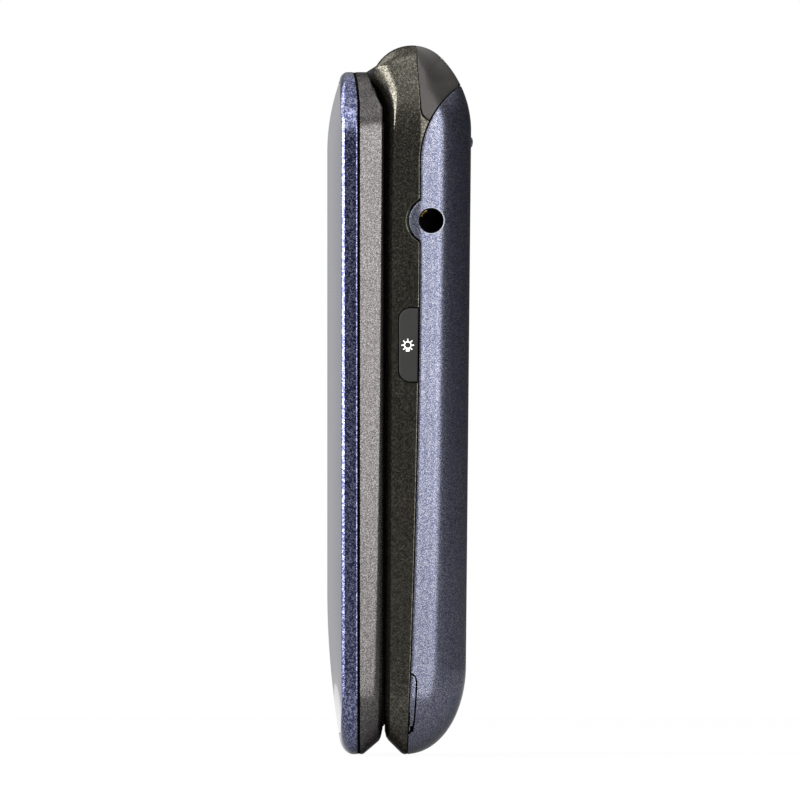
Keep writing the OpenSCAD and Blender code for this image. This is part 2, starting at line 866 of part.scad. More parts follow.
// Charging socket: a metal shell open to the side, with a tongue
module usb_socket() {
    x0 = -hw + wall + side_draft + 0.25;
    color("silver")
        difference() {
            box([x0, y_board_back, socket_z - 3.7], [x0 + 5.6, y_board_back + 2.7, socket_z + 3.7]);
            box([x0 - 1, y_board_back + 0.3, socket_z - 3.4], [x0 + 5, y_board_back + 2.4, socket_z + 3.4]);
        }
    color("black")
        box([x0 + 1, y_board_back + 1.3, socket_z - 2.4], [x0 + 5.2, y_board_back + 1.9, socket_z + 2.4]);
}

// Loudspeaker on the inner housing
module loudspeaker() {
    color("black")
        plate(speaker_w, speaker_h, 3, y_bay, y_bay + 3.4, 0, speaker_z);
}

// Microphone behind the front plate
module microphone() {
    color("silver")
        difference() {
            rod(2, y_plate, y_plate + 1, 9, 5.4);
            rod(0.5, y_plate - 1, y_plate + 0.5, 9, 5.4);
        }
}

// Torch diode under its lens
module torch_led() {
    color("lightyellow")
        along_torch(1.2, 4.2, 5);
}

// Torch lens, flush with the cap
module torch_lens() {
    color("white")
        intersection() {
            along_torch(1.85, 5, 9);
            body_solid();
        }
}

// Antenna plate at the bottom of the inner housing
module antenna() {
    color("goldenrod")
        plate(antenna_w, 9, 1, y_bay, y_bay + 0.3, antenna_x + antenna_w / 2, motor_z);
}

// Hinge can, fast in the keypad frame, with the bore of the hinge pin
module hinge_can() {
    color("silver")
        difference() {
            pin(can_r, slot_w / 2, can_end);
            pin(pin_r + run_gap, slot_w / 2 - 1, can_end - 0.3);
        }
}

// Four screws through the housing and the board into the keypad frame
module body_screws() {
    color("gray")
        for (s = [-1, 1], z = screw_z)
            difference() {
                union() {
                    rod(1.4, y_bay, y_bay + 0.8, s * screw_x, z);
                    rod(0.7, y_plate + 0.4, y_bay + eps, s * screw_x, z);
                }
                box([s * screw_x - 0.9, y_bay + 0.4, z - 0.15], [s * screw_x + 0.9, y_bay + 2, z + 0.15]);
                box([s * screw_x - 0.15, y_bay + 0.4, z - 0.9], [s * screw_x + 0.15, y_bay + 2, z + 0.9]);
            }
}

// Vibration motor with its base and shaft
module vibration_motor() {
    color("silver") {
        pin(2, -13, -5, motor_y, motor_z);
        box([-13, y_bay, motor_z - 1.6], [-5, motor_y, motor_z + 1.6]);
        pin(0.4, -5.1, 0.2, motor_y, motor_z);
    }
}

// Half-round weight on the motor's shaft
module vibration_weight() {
    color("dimgray")
        difference() {
            pin(1.9, -4.4, 0, motor_y, motor_z);
            pin(0.4 + run_gap, -5, 1, motor_y, motor_z);
            box([-5, motor_y - 3, motor_z + 0.9], [1, motor_y + 3, motor_z + 3]);
        }
}

// Switches at the board's edges, one for the torch key and two for the rocker
module side_switches() {
    x1 = hw - side_lip - side_flange - travel - 0.2;
    color("black") {
        box([x1 - 2.6, y_board_back, torch_key_z - 1.6], [x1, y_board_back + 1.4, torch_key_z + 1.6]);
        for (s = [-1, 1])
            box([-x1, y_board_back, torch_key_z + s * volume_h / 3 - 1.6],
                [2.6 - x1, y_board_back + 1.4, torch_key_z + s * volume_h / 3 + 1.6]);
    }
}

// Key in a side wall, with a flange of its own length inside, set back by gap
module side_key(h, s, flange, gap) {
    y0 = y_seam - 0.22 - torch_key_w;
    x1 = hw - side_lip - gap;
    translate([0, 0, torch_key_z]) {
        across(s > 0 ? x1 - 0.2 : -hw - side_proud, s > 0 ? hw + side_proud : 0.2 - x1)
            side_key_shape(h);
        box([s > 0 ? x1 - side_flange : -x1, y0 - 0.4, -flange / 2],
            [s > 0 ? x1 : side_flange - x1, y_seam - 0.4, flange / 2]);
    }
}

// Torch key in the right side
module torch_key() {
    color("dimgray")
        side_key(torch_key_h, 1, torch_key_h + 0.8, 0);
}

// Volume rocker in the left side, with a plunger for each switch
module volume_rocker() {
    x1 = hw - side_lip - rock_gap;
    color("dimgray") {
        side_key(volume_h, -1, 1.6, rock_gap);
        translate([-x1 + side_flange, y_seam - torch_key_w, torch_key_z])
            rotate([-90, 0, 0])
                cylinder(r = 0.8, h = torch_key_w - 0.8, $fn = 32);
        for (s = [-1, 1])
            translate([0, 0, torch_key_z + s * volume_h / 3])
                box([-x1 - 0.1, y_board_back, -1], [side_flange - x1, y_board_back + 1, 1]);
    }
}

// Every key of the front: name, x, z, width, height, corner radius
function keys() = concat([
    ["scroll_key", 0, control_z, scroll_w, scroll_h, 5],
    ["soft_left", -side_key_x, control_z + side_key_z, side_key_w, side_key_h, 2.5],
    ["soft_right", side_key_x, control_z + side_key_z, side_key_w, side_key_h, 2.5],
    ["call_key", -side_key_x, control_z - side_key_z, side_key_w, side_key_h, 2.5],
    ["end_key", side_key_x, control_z - side_key_z, side_key_w, side_key_h, 2.5]],
    [for (i = [1:9]) [str("key_", i), ((i - 1) % 3 - 1) * pitch_x, row_z + (3 - floor((i - 1) / 3)) * pitch_z,
        key_w, key_h, 2.5]],
    [["key_star", -pitch_x, row_z, key_w, key_h, 2.5], ["key_0", 0, row_z, key_w, key_h, 2.5],
    ["key_hash", pitch_x, row_z, key_w, key_h, 2.5]]);

// Key of the front with its flange behind the plate
module front_key(name) {
    color("lightsteelblue")
        for (k = keys())
            if (k[0] == name) {
                plate(k[3], k[4], k[5], y_face, y_plate + eps, k[1], k[2]);
                plate(k[3] + 1, k[4] + 1, k[5], y_plate, y_flange, k[1], k[2]);
            }
}

// Scroll key, rocking on two ears behind the plate, with two plungers
module scroll_key() {
    k = keys()[0];
    color("lightsteelblue") {
        plate(k[3], k[4], k[5], y_face, y_plate + 0.2, k[1], k[2]);
        pin(0.4, -k[3] / 2 - 0.7, k[3] / 2 + 0.7, y_plate + rock_gap + 0.4, k[2]);
        plate(k[3] - 2, 3, 1, y_plate, y_plate + rock_gap + 0.5, k[1], k[2]);
        for (s = [-1, 1])
            rod(1.5, y_plate, y_flange, k[1], k[2] + s * scroll_h / 3);
    }
}

lid_plate();
lid_cover();
outer_display();
camera_module();
lid_board();
main_display();
lid_frame();
display_lens();
earpiece();
earpiece_grille();
lid_bumpers();
lid_screws();
lid_magnet();
hinge_pin();
hinge_bush();
front_frame();
top_cap();
rear_housing();
rear_cover();
main_board();
shield_cans();
keypad_mat();
key_domes();
battery();
battery_contacts();
sim_holder();
card_holder();
jack_socket();
usb_socket();
loudspeaker();
microphone();
torch_led();
torch_lens();
antenna();
hinge_can();
body_screws();
vibration_motor();
vibration_weight();
side_switches();
torch_key();
volume_rocker();
scroll_key();
front_key("soft_left");  // soft_left
front_key("soft_right");  // soft_right
front_key("call_key");  // call_key
front_key("end_key");  // end_key
front_key("key_1");  // key_1
front_key("key_2");  // key_2
front_key("key_3");  // key_3
front_key("key_4");  // key_4
front_key("key_5");  // key_5
front_key("key_6");  // key_6
front_key("key_7");  // key_7
front_key("key_8");  // key_8
front_key("key_9");  // key_9
front_key("key_star");  // key_star
front_key("key_0");  // key_0
front_key("key_hash");  // key_hash
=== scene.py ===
import math
import bmesh
import bpy
import numpy as np
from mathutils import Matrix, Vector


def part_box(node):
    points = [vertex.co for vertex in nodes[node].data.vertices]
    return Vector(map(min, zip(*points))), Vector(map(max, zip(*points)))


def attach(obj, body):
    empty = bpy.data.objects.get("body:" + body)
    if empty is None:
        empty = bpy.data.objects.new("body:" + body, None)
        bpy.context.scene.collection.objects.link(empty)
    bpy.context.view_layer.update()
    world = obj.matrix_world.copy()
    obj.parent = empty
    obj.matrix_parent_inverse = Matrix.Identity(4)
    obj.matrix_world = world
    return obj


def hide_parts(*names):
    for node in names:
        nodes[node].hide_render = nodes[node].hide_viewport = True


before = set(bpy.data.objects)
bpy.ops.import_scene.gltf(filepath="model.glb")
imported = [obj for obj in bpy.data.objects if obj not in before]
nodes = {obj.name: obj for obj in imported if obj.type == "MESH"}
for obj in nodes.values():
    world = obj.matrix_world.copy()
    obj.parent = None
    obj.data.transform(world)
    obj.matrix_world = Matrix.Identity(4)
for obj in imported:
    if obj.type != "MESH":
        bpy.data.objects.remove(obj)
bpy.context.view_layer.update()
scene = bpy.context.scene
mm = 0.001
print("frame loaded:", len(nodes), "nodes")

# main sizes of the closed phone in mm: x across, y from lid to back, z up to the hinge
phone = {
    "halfWidth": 27.0, "lidTop": 104.0, "lidApex": -11.15, "lidEdge": -8.84, "lidSeam": -6.32, "lidInner": -2.65,
    "face": -2.35, "back": 10.85, "hingeY": 1.85, "hingeZ": 101.65, "barrel": 6.35,
    "cornerLow": 9.0, "cornerHigh": 9.5, "jackBlend": 0.35,
    "seam": 3.05, "seamBow": 2.0, "seamTop": 90.0, "gap": 0.13, "ahead": 0.04, "heel": 13.5,
    "jackY": 4.74, "jackZ": 81.3, "eyelet": 3.46, "crownHalf": 26.7, "crownLow": 25.0, "crownHigh": 12.0,
}
# circles of the side view: the back's shoulder, and the cover's upper edge that sweeps up to it
shoulder = {"y": -5.15, "z": 95.01, "r": 16.0, "turn": 43.5}
sweep = {"y": 17.65, "z": 90.0, "r": 14.6}
far = 99.0  # stands for no limit


# meshes

def col(*values):
    # numbers as a column, one for each row of a grid
    return np.array(values, float)[:, None]


def gridCells(rows, cols, wrapCols=False, wrapRows=False):
    # cells of a grid of points: each joins four neighbours, and a wrap joins the last line to the first
    r, c = np.meshgrid(np.arange(rows - (not wrapRows)), np.arange(cols - (not wrapCols)), indexing="ij")
    up, on = (r + 1) % rows, (c + 1) % cols
    return np.stack([r * cols + c, r * cols + on, up * cols + on, up * cols + c], -1).reshape(-1, 4)


def skin(x, y, z, wrapCols=False, wrapRows=False):
    # one surface: the three coordinates over a grid, with the cells between them
    points = np.stack(np.broadcast_arrays(x, y, z), -1).astype(float)
    return points, gridCells(points.shape[0], points.shape[1], wrapCols, wrapRows)


def addObject(name, data):
    # an object of the scene
    made = bpy.data.objects.new(name, data)
    scene.collection.objects.link(made)
    return made


def buildMesh(name, skins, weld=0.004):
    # all the skins in one mesh, with doubles merged and normals turned outwards
    starts = np.cumsum([0] + [s[0].shape[0] * s[0].shape[1] for s in skins[:-1]])
    verts = np.concatenate([s[0].reshape(-1, 3) for s in skins]) * mm
    cells = np.concatenate([s[1] + n for s, n in zip(skins, starts)])
    mesh = bpy.data.meshes.new(name)
    mesh.from_pydata(verts.tolist(), [], cells.tolist())
    bm = bmesh.new()
    bm.from_mesh(mesh)
    bmesh.ops.remove_doubles(bm, verts=bm.verts, dist=weld * mm)
    bmesh.ops.recalc_face_normals(bm, faces=bm.faces)
    bm.to_mesh(mesh)
    bm.free()
    return addObject(name, mesh)


def settle(piece):
    # puts the modifiers' result into the mesh
    graph = bpy.context.evaluated_depsgraph_get()
    graph.update()
    done = bpy.data.meshes.new_from_object(piece.evaluated_get(graph))
    old = piece.data
    piece.modifiers.clear()
    piece.data = done
    bpy.data.meshes.remove(old)


def thicken(piece, wall, rim=0.08, corner=55):
    # a wall grown inwards from the skin, its rims rounded
    solid = piece.modifiers.new("wall", "SOLIDIFY")
    solid.thickness, solid.offset, solid.use_even_offset = wall * mm, -1, False
    if rim:
        edge = piece.modifiers.new("rims", "BEVEL")
        edge.width, edge.segments, edge.limit_method = rim * mm, 2, "ANGLE"
        edge.angle_limit, edge.use_clamp_overlap = math.radians(corner), True
    settle(piece)


def cut(piece, *tools):
    # takes each tool's volume out of the piece and deletes the tool
    for tool in tools:
        hole = piece.modifiers.new("hole", "BOOLEAN")
        hole.operation, hole.object, hole.solver = "DIFFERENCE", tool, "MANIFOLD"
        settle(piece)
        bpy.data.meshes.remove(tool.data)


def dress(piece, finishName, body, slotName, *stands, sharp=32):
    # finish, body, material slot (not used) and the CAD nodes the piece stands for
    piece.data.materials.clear()
    piece.data.materials.append(materials[finishName])
    piece.data.shade_smooth()
    piece.data.set_sharp_from_angle(angle=math.radians(sharp))
    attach(piece, body)
    if stands:
        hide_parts(*stands)
    return piece


def shares(count):
    # even shares of a way as a column, the start left out
    return np.linspace(0, 1, count + 1)[1:, None]


def easeTo(t):
    # a smooth step from 0 to 1: three squares less two cubes
    t = np.clip(t, 0.0, 1.0)
    return t * t * (3 - 2 * t)


def roundOff(depth, reach, drop):
    # quarter ellipse: how far a side falls back at a depth inside the edge, over the reach
    k = 1 - np.clip(depth / reach, 0.0, 1.0)
    return drop * (1 - np.clip(1 - k ** 2.0, 0.0, 1.0) ** 0.5)


# outlines

def outlineLoop(low, high, halfW, rLow, rHigh, endCols=36, turn=14, sideRows=60):
    # a rounded rectangle walked once: low edge, right side, high edge, left side; points and outward normals
    a = np.linspace(0, math.pi / 2, turn + 1)
    ends = np.linspace(-1, 1, endCols + 1)
    side = np.linspace(low + rLow, high - rHigh, sideRows + 1)[1:-1]
    rightNx = np.concatenate([np.sin(a), np.ones(side.size), np.cos(a)])
    rightNz = np.concatenate([-np.cos(a), np.zeros(side.size), np.sin(a)])
    lowHalf, r = np.arange(rightNx.size) < a.size, np.full(rightNx.size, rHigh, float)
    r[lowHalf] = rLow
    rightX = halfW - r + r * rightNx
    rightZ = np.where(lowHalf, low + r, high - r) + r * rightNz
    rightZ[a.size:a.size + side.size] = side
    lowX = ends[1:-1] * (halfW - rLow)
    highX = -ends[1:-1] * (halfW - rHigh)
    flat = np.zeros(endCols - 1)
    x = np.concatenate([lowX, rightX, highX, -rightX[::-1]])
    z = np.concatenate([flat + low, rightZ, flat + high, rightZ[::-1]])
    nx = np.concatenate([flat, rightNx, flat, -rightNx[::-1]])
    nz = np.concatenate([flat - 1, rightNz, flat + 1, rightNz[::-1]])
    return x, z, nx, nz


def lidLoop():
    # the lid's outline
    return outlineLoop(0, phone["lidTop"], phone["halfWidth"], phone["cornerLow"], phone["cornerHigh"])


def insetLoop(loop, *amounts):
    # the loop drawn in by one amount at the sides and others at the low and the high end, row by row
    x, z, nx, nz = loop
    sideIn, lowIn, highIn = [np.array(v, float).reshape(-1, 1) if np.ndim(v) < 2 else v for v in amounts]
    return x - nx * sideIn, z - nz * np.where(nz < 0, lowIn, highIn)


def chord(r, d):
    # half chord of a circle at a distance from its middle: the root of the squares' difference, 0 outside
    return np.sqrt(np.clip(r ** 2 - d ** 2, 0, None))


def cornerIn(z):
    # how far the outline draws in at the free end's corner
    r = phone["cornerLow"]
    return np.where(z < r, r - chord(r, r - z), 0)


def lidCrown(x, z):
    # the lid's face: a parabola across the width, flattened towards both ends
    low, high = phone["crownLow"], phone["crownHigh"]
    lift = np.maximum.reduce([np.zeros_like(z), (low - z) / low, (z - phone["lidTop"] + high) / high])
    rise = phone["lidEdge"] - phone["lidApex"]
    return phone["lidEdge"] - rise * (1 - lift ** 2) * (1 - (x / phone["crownHalf"]) ** 2)


def seamLine(z):
    # the seam between the front frame and the rear cover bows forward towards the free end
    return phone["seam"] - phone["seamBow"] * np.maximum(0, (phone["seamTop"] - z) / phone["seamTop"]) ** 2


def coverEdge(z):
    # the seam, then a circle that sweeps back to the shoulder
    arc = sweep["y"] - chord(sweep["r"], np.maximum(z - sweep["z"], 0))
    return np.where(z > sweep["z"], arc, seamLine(z))


def jackBulge(z, grow=0.0):
    # where the seam runs round the headphone hole
    r = phone["eyelet"] + grow
    half = chord(r, z - phone["jackZ"])
    return np.where(half > 0, phone["jackY"] - half, far)


def softMin(a, b, width):
    # the lower of two surfaces with a rounded crossing
    h = np.clip(0.5 + 0.5 * (b - a) / width, 0, 1)
    return b * (1 - h) + a * h - width * h * (1 - h)


def prismY(cx, cz, w, h, r, y0, y1):
    # a rounded bar along y, closed at both ends
    x, z = outlineLoop(-h / 2, h / 2, w / 2, r, r, 6, 6, 6)[:2]
    k = col(0, 1, 1, 0)
    return skin(cx + x * k, col(y0, y0, y1, y1), cz + z * k, True)


def prismX(cy, cz, w, h, r, x0, x1):
    # the same along x
    points, cells = prismY(cy, cz, w, h, r, x0, x1)
    return points[..., [1, 0, 2]], cells


def circle(steps):
    # angles once round
    return np.linspace(0, 2 * math.pi, steps + 1)[:-1]


def latheX(cy, cz, along, radius, steps=64, wrap=False):
    # a profile of radius over x turned about an axis along x
    a = circle(steps)
    x, r = col(*along), col(*radius)
    return skin(x, cy + r * np.cos(a), cz + r * np.sin(a), True, wrap)


def jackBore(radius, steps, inner=20, outer=30):
    # a round bar through the headphone hole
    return latheX(phone["jackY"], phone["jackZ"], [inner, inner, outer, outer], [0, radius, radius, 0], steps)


def closeEnds(band):
    # the two quads at the ends of a band that is four points round
    return [(band[0][[0, 1, 3, 2], k].reshape(2, 2, 3), gridCells(2, 2)) for k in (0, -1)]


# shader groups

def newGroup(name, ins, outs):
    # a group with its inputs and their values and its outputs; a tuple is a colour and a number a value
    group = bpy.data.node_groups.new(name, "ShaderNodeTree")
    for label, value in ins.items():
        kind = "NodeSocketColor" if isinstance(value, tuple) else "NodeSocketFloat"
        group.interface.new_socket(name=label, in_out="INPUT", socket_type=kind).default_value = value
    for label, kind in outs.items():
        group.interface.new_socket(name=label, in_out="OUTPUT", socket_type=kind)
    return group, group.nodes.new("NodeGroupInput").outputs, group.nodes.new("NodeGroupOutput").inputs


def addNode(tree, kind, **values):
    # a node with its settings and the values of its inputs
    node = tree.nodes.new(kind)
    for key, value in values.items():
        if hasattr(node, key):
            setattr(node, key, value)
        else:
            node.inputs[key].default_value = value
    return node


def setAll(sockets, values):
    # plain values for a node's inputs, by label
    for label, value in values.items():
        sockets[label].default_value = value


def join(tree, socket, value):
    # an input takes a link from another node's output, or a plain value
    if isinstance(value, bpy.types.NodeSocket):
        tree.links.new(value, socket)
    else:
        socket.default_value = value


def calc(tree, operation, *terms):
    # one operation on outputs and numbers
    node = addNode(tree, "ShaderNodeMath", operation=operation)
    for socket, term in zip(node.inputs, terms):
        join(tree, socket, term)
    return node.outputs[0]


def scaled(tree, value, start=(0.0, 1.0), end=(0.0, 1.0)):
    # a value carried from one range to another
    node = addNode(tree, "ShaderNodeMapRange")
    for label, term in zip(("Value", "From Min", "From Max", "To Min", "To Max"), (value, *start, *end)):
        join(tree, node.inputs[label], term)
    return node.outputs["Result"]


def mixed(tree, factor, a, b, kind="RGBA"):
    # from a to b by the factor, for colours or for numbers
    node = addNode(tree, "ShaderNodeMix", data_type=kind)
    first, out = (6, 2) if kind == "RGBA" else (2, 0)
    for index, term in ((0, factor), (first, a), (first + 1, b)):
        join(tree, node.inputs[index], term)
    return node.outputs[out]


def pattern(tree, kind, **values):
    # a texture on the piece's own coordinates
    node = addNode(tree, kind, **values)
    join(tree, node.inputs["Vector"], addNode(tree, "ShaderNodeTexCoord").outputs["Object"])
    return node


paintIn = {"Base": (0.1, 0.1, 0.2, 1), "Tone": (0.6, 0.6, 0.8, 1), "Scale": 5000.0,
           "RoughLow": 0.3, "RoughHigh": 0.45}
paintOut = {"Color": "NodeSocketColor", "Rough": "NodeSocketFloat", "Height": "NodeSocketFloat"}


def flakeGroup():
    # metal flake in paint: small cells, each with its own brightness, over a slow drift of tone
    group, given, out = newGroup("metalFlake", {**paintIn, "Amount": 0.5}, paintOut)
    cells = pattern(group, "ShaderNodeTexVoronoi", feature="F1")
    join(group, cells.inputs["Scale"], given["Scale"])
    drift = pattern(group, "ShaderNodeTexNoise", Scale=90.0, Detail=3.0)
    split = addNode(group, "ShaderNodeSeparateColor")
    join(group, split.inputs["Color"], cells.outputs["Color"])
    share = calc(group, "MULTIPLY", scaled(group, split.outputs["Red"], (0.35, 1.0)), given["Amount"])
    share = calc(group, "MULTIPLY", share, scaled(group, drift.outputs["Fac"], end=(0.75, 1.25)))
    join(group, out["Color"], mixed(group, share, given["Base"], given["Tone"]))
    join(group, out["Rough"], scaled(group, split.outputs["Green"], end=(given["RoughLow"], given["RoughHigh"])))
    join(group, out["Height"], split.outputs["Blue"])
    return group


def grainGroup():
    # moulded plastic: fine spark-eroded grain with a slow change of tone and gloss
    group, given, out = newGroup("mouldGrain", paintIn, paintOut)
    fine = pattern(group, "ShaderNodeTexNoise", Detail=2.0, Roughness=0.6)
    join(group, fine.inputs["Scale"], given["Scale"])
    drift = pattern(group, "ShaderNodeTexNoise", Scale=130.0, Detail=4.0)
    slow = calc(group, "MULTIPLY", drift.outputs["Fac"], 0.35)
    share = scaled(group, calc(group, "MULTIPLY_ADD", fine.outputs["Fac"], 0.65, slow), (0.32, 0.68))
    join(group, out["Color"], mixed(group, share, given["Base"], given["Tone"]))
    join(group, out["Rough"], scaled(group, share, end=(given["RoughLow"], given["RoughHigh"])))
    join(group, out["Height"], fine.outputs["Fac"])
    return group


def windowGroup():
    # 1 inside a rounded rectangle on the x and z of the piece, from the distance to its corner circles
    group, given, out = newGroup("windowMask", {
        "Half Width": 0.01, "Half Height": 0.01, "Corner": 0.001, "Middle": 0.05}, {"Mask": "NodeSocketFloat"})
    soft = 0.00004
    split = addNode(group, "ShaderNodeSeparateXYZ")
    join(group, split.inputs[0], addNode(group, "ShaderNodeTexCoord").outputs["Object"])
    height = calc(group, "SUBTRACT", split.outputs["Z"], given["Middle"])
    joined = addNode(group, "ShaderNodeCombineXYZ")
    for place, value, half in ((0, split.outputs["X"], "Half Width"), (1, height, "Half Height")):
        inner = calc(group, "SUBTRACT", given[half], given["Corner"])
        over = calc(group, "SUBTRACT", calc(group, "ABSOLUTE", value), inner)
        join(group, joined.inputs[place], calc(group, "MAXIMUM", over, 0.0))
    size = addNode(group, "ShaderNodeVectorMath", operation="LENGTH")
    join(group, size.inputs[0], joined.outputs[0])
    beyond = calc(group, "SUBTRACT", size.outputs["Value"], given["Corner"])
    join(group, out["Mask"], scaled(group, beyond, (soft, -soft)))
    return group


flake, grain, window = flakeGroup(), grainGroup(), windowGroup()


def shade(r, g, b):
    # a colour given in 0 to 255 as seen on a screen
    c = np.array([r, g, b]) / 255.0
    lin = np.where(c <= 0.04045, c / 12.92, ((c + 0.055) / 1.055) ** 2.4)
    return (float(lin[0]), float(lin[1]), float(lin[2]), 1.0)


def finish(name, group, base, tone, scale, rough, amount=None, metallic=0.0, coat=0.0, coatRough=0.1,
           bump=0.0, specular=0.5, rim=1.0, clear=0.0, windows=()):
    # one group feeds colour, roughness and bump of a single shader;
    # windows are areas of another tone, roughness and metal under the same gloss
    bumpDepth = 0.02 * mm
    material = bpy.data.materials.new(name)
    material.use_nodes = True
    tree = material.node_tree
    shader = tree.nodes["Principled BSDF"].inputs
    setAll(shader, {"Metallic": metallic, "Coat Weight": coat, "Coat Roughness": coatRough,
                    "Specular IOR Level": specular, "Specular Tint": (rim, rim, rim, 1),
                    "Transmission Weight": clear})
    used = addNode(tree, "ShaderNodeGroup", node_tree=group)
    values = {"Base": shade(*base), "Tone": shade(*tone), "Scale": scale, "RoughLow": rough[0], "RoughHigh": rough[1]}
    if amount:
        values["Amount"] = amount
    setAll(used.inputs, values)
    colour, gloss, metal = used.outputs["Color"], used.outputs["Rough"], metallic
    for shape, innerTone, innerGloss, innerMetal in windows:
        mask = addNode(tree, "ShaderNodeGroup", node_tree=window)
        for socket, value in zip(mask.inputs, shape):
            socket.default_value = value * mm
        inside = mask.outputs["Mask"]
        colour = mixed(tree, inside, colour, shade(*innerTone))
        gloss = mixed(tree, inside, gloss, innerGloss, "FLOAT")
        metal = mixed(tree, inside, metal, innerMetal, "FLOAT")
    join(tree, shader["Base Color"], colour)
    join(tree, shader["Roughness"], gloss)
    if windows:
        join(tree, shader["Metallic"], metal)
    if bump:
        relief = addNode(tree, "ShaderNodeBump", Strength=bump, Distance=bumpDepth)
        join(tree, relief.inputs["Height"], used.outputs["Height"])
        join(tree, shader["Normal"], relief.outputs["Normal"])
    return material


def windowShape(name, corner, extra=0.0):
    # half width, half height, corner and middle height of a node's face in mm
    low, high = np.array(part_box(name)) / mm
    return (high[0] - low[0]) / 2 + extra, (high[2] - low[2]) / 2 + extra, corner, (high[2] + low[2]) / 2


def eyeShape(radius):
    # a round window over the camera
    return radius, radius, radius, windowShape("camera_module", radius)[3]


lidWindows = [
    (windowShape("outer_display", 2.2, 0.8), (14, 15, 18), 0.08, 0.0),
    (windowShape("outer_display", 0.6), (27, 30, 38), 0.12, 0.0),
    (eyeShape(3.6), (14, 14, 16), 0.08, 0.0), (eyeShape(2.7), (120, 122, 128), 0.22, 0.9),
    (eyeShape(2.35), (9, 9, 11), 0.06, 0.0), (eyeShape(1.2), (30, 32, 62), 0.04, 0.2)]
displayWindow = [(windowShape("main_display", 0.9, -1.0), (30, 33, 41), 0.12, 0.0)]

# pattern, its two tones, cells a metre, lowest and highest roughness, and what differs from plain plastic
finishes = {
    "bluePaint": (flake, (50, 54, 76), (164, 163, 167), 10500, (0.21, 0.32), dict(
        amount=0.44, metallic=0.9, coat=0.35, coatRough=0.3, bump=0.13, rim=0.4)),
    "lidGloss": (grain, (46, 49, 74), (52, 55, 82), 700, (0.10, 0.14), dict(
        metallic=0.6, coat=0.8, coatRough=0.04, windows=lidWindows)),
    "frameGrey": (flake, (56, 54, 53), (147, 143, 144), 9600, (0.19, 0.29), dict(
        amount=0.36, metallic=0.9, bump=0.08, rim=0.3)),
    # the lid's copy of the blue paint with a darker base: painted shade on the lid's side
    "lidPaintShaded": (flake, (35, 39, 70), (166, 169, 197), 4900, (0.15, 0.23), dict(
        amount=0.45, metallic=0.9, coat=0.35, coatRough=0.15, bump=0.2, rim=0.4)),
    # a darker copy of the frame grey: painted shade on the body's frame and the hinge trough
    "frameGreyShaded": (flake, (45, 44, 39), (122, 118, 108), 5900, (0.17, 0.26), dict(
        amount=0.33, metallic=0.9, bump=0.12, rim=0.3)),
    "capGrey": (grain, (44, 42, 40), (55, 53, 51), 5000, (0.36, 0.46), dict(metallic=0.6, bump=0.05)),
    "blackPlastic": (grain, (20, 20, 21), (34, 34, 35), 3000, (0.35, 0.5), dict(bump=0.1)),
    "innerPlastic": (grain, (44, 45, 48), (60, 61, 64), 2600, (0.42, 0.6), dict(bump=0.15)),
    "keyPlastic": (grain, (26, 27, 29), (38, 39, 41), 3600, (0.26, 0.36), dict(
        coat=0.2, coatRough=0.2, bump=0.06)),
    "sideKeyGrey": (grain, (28, 28, 27), (35, 35, 34), 5200, (0.48, 0.6), dict(metallic=0.4, bump=0.05, rim=0.4)),
    # pale grey on the blue cover: a painted highlight round the headphone hole
    "jackRimHighlight": (grain, (138, 140, 154), (164, 166, 178), 5200, (0.35, 0.5), dict(metallic=0.3)),
    # a near-black copy of the frame for the lid's knuckle: painted shade where the knuckle sits in shadow
    "hingeShadeBlack": (grain, (18, 18, 19), (27, 27, 28), 4200, (0.5, 0.62), dict(bump=0.08, specular=0.2)),
    "darkGlass": (grain, (8, 8, 10), (11, 11, 13), 300, (0.05, 0.09), dict(
        coat=1.0, coatRough=0.02, windows=displayWindow)),
    "screenGlass": (grain, (22, 25, 33), (28, 31, 40), 9000, (0.10, 0.16), dict(coat=0.6, coatRough=0.03)),
    "boardGreen": (grain, (22, 70, 48), (38, 98, 66), 1400, (0.35, 0.5), dict(coat=0.3, coatRough=0.2, bump=0.3)),
    "brightMetal": (grain, (190, 191, 194), (222, 223, 226), 2200, (0.22, 0.38), dict(metallic=1.0, bump=0.05)),
    "darkSteel": (grain, (58, 58, 60), (78, 78, 80), 3200, (0.3, 0.42), dict(metallic=1.0, bump=0.05)),
    "goldContact": (grain, (205, 158, 78), (232, 190, 110), 2600, (0.20, 0.34), dict(metallic=1.0)),
    "softRubber": (grain, (17, 17, 18), (26, 26, 27), 5200, (0.65, 0.82), dict(bump=0.2, specular=0.2)),
    # near-black and barely glossy: painted shade for the strips behind the seams
    "seamShadeBlack": (grain, (3, 3, 3), (6, 6, 6), 5200, (0.85, 0.95), dict(specular=0.02)),
    "batteryWrap": (grain, (52, 54, 58), (66, 68, 73), 900, (0.30, 0.46), dict(bump=0.1)),
    "diodeYellow": (grain, (232, 214, 130), (245, 232, 170), 3000, (0.25, 0.4), {}),
    "lampClear": (grain, (214, 218, 222), (236, 239, 242), 1200, (0.06, 0.16), dict(clear=0.85)),
    "printWhite": (grain, (226, 227, 229), (240, 241, 242), 5000, (0.4, 0.55), {}),
    "printGreen": (grain, (48, 158, 72), (58, 170, 82), 5000, (0.4, 0.55), {}),
    "printRed": (grain, (196, 44, 42), (208, 56, 52), 5000, (0.4, 0.55), {}),
}
materials = {name: finish(name, *row[:-1], **row[-1]) for name, row in finishes.items()}
print("materials made:", len(materials))


# lid

lidPlate = {"in": (0.76, 3.22, 1.72), "edge": 0.02, "thick": 0.7, "rings": 30, "middle": (42, 62)}


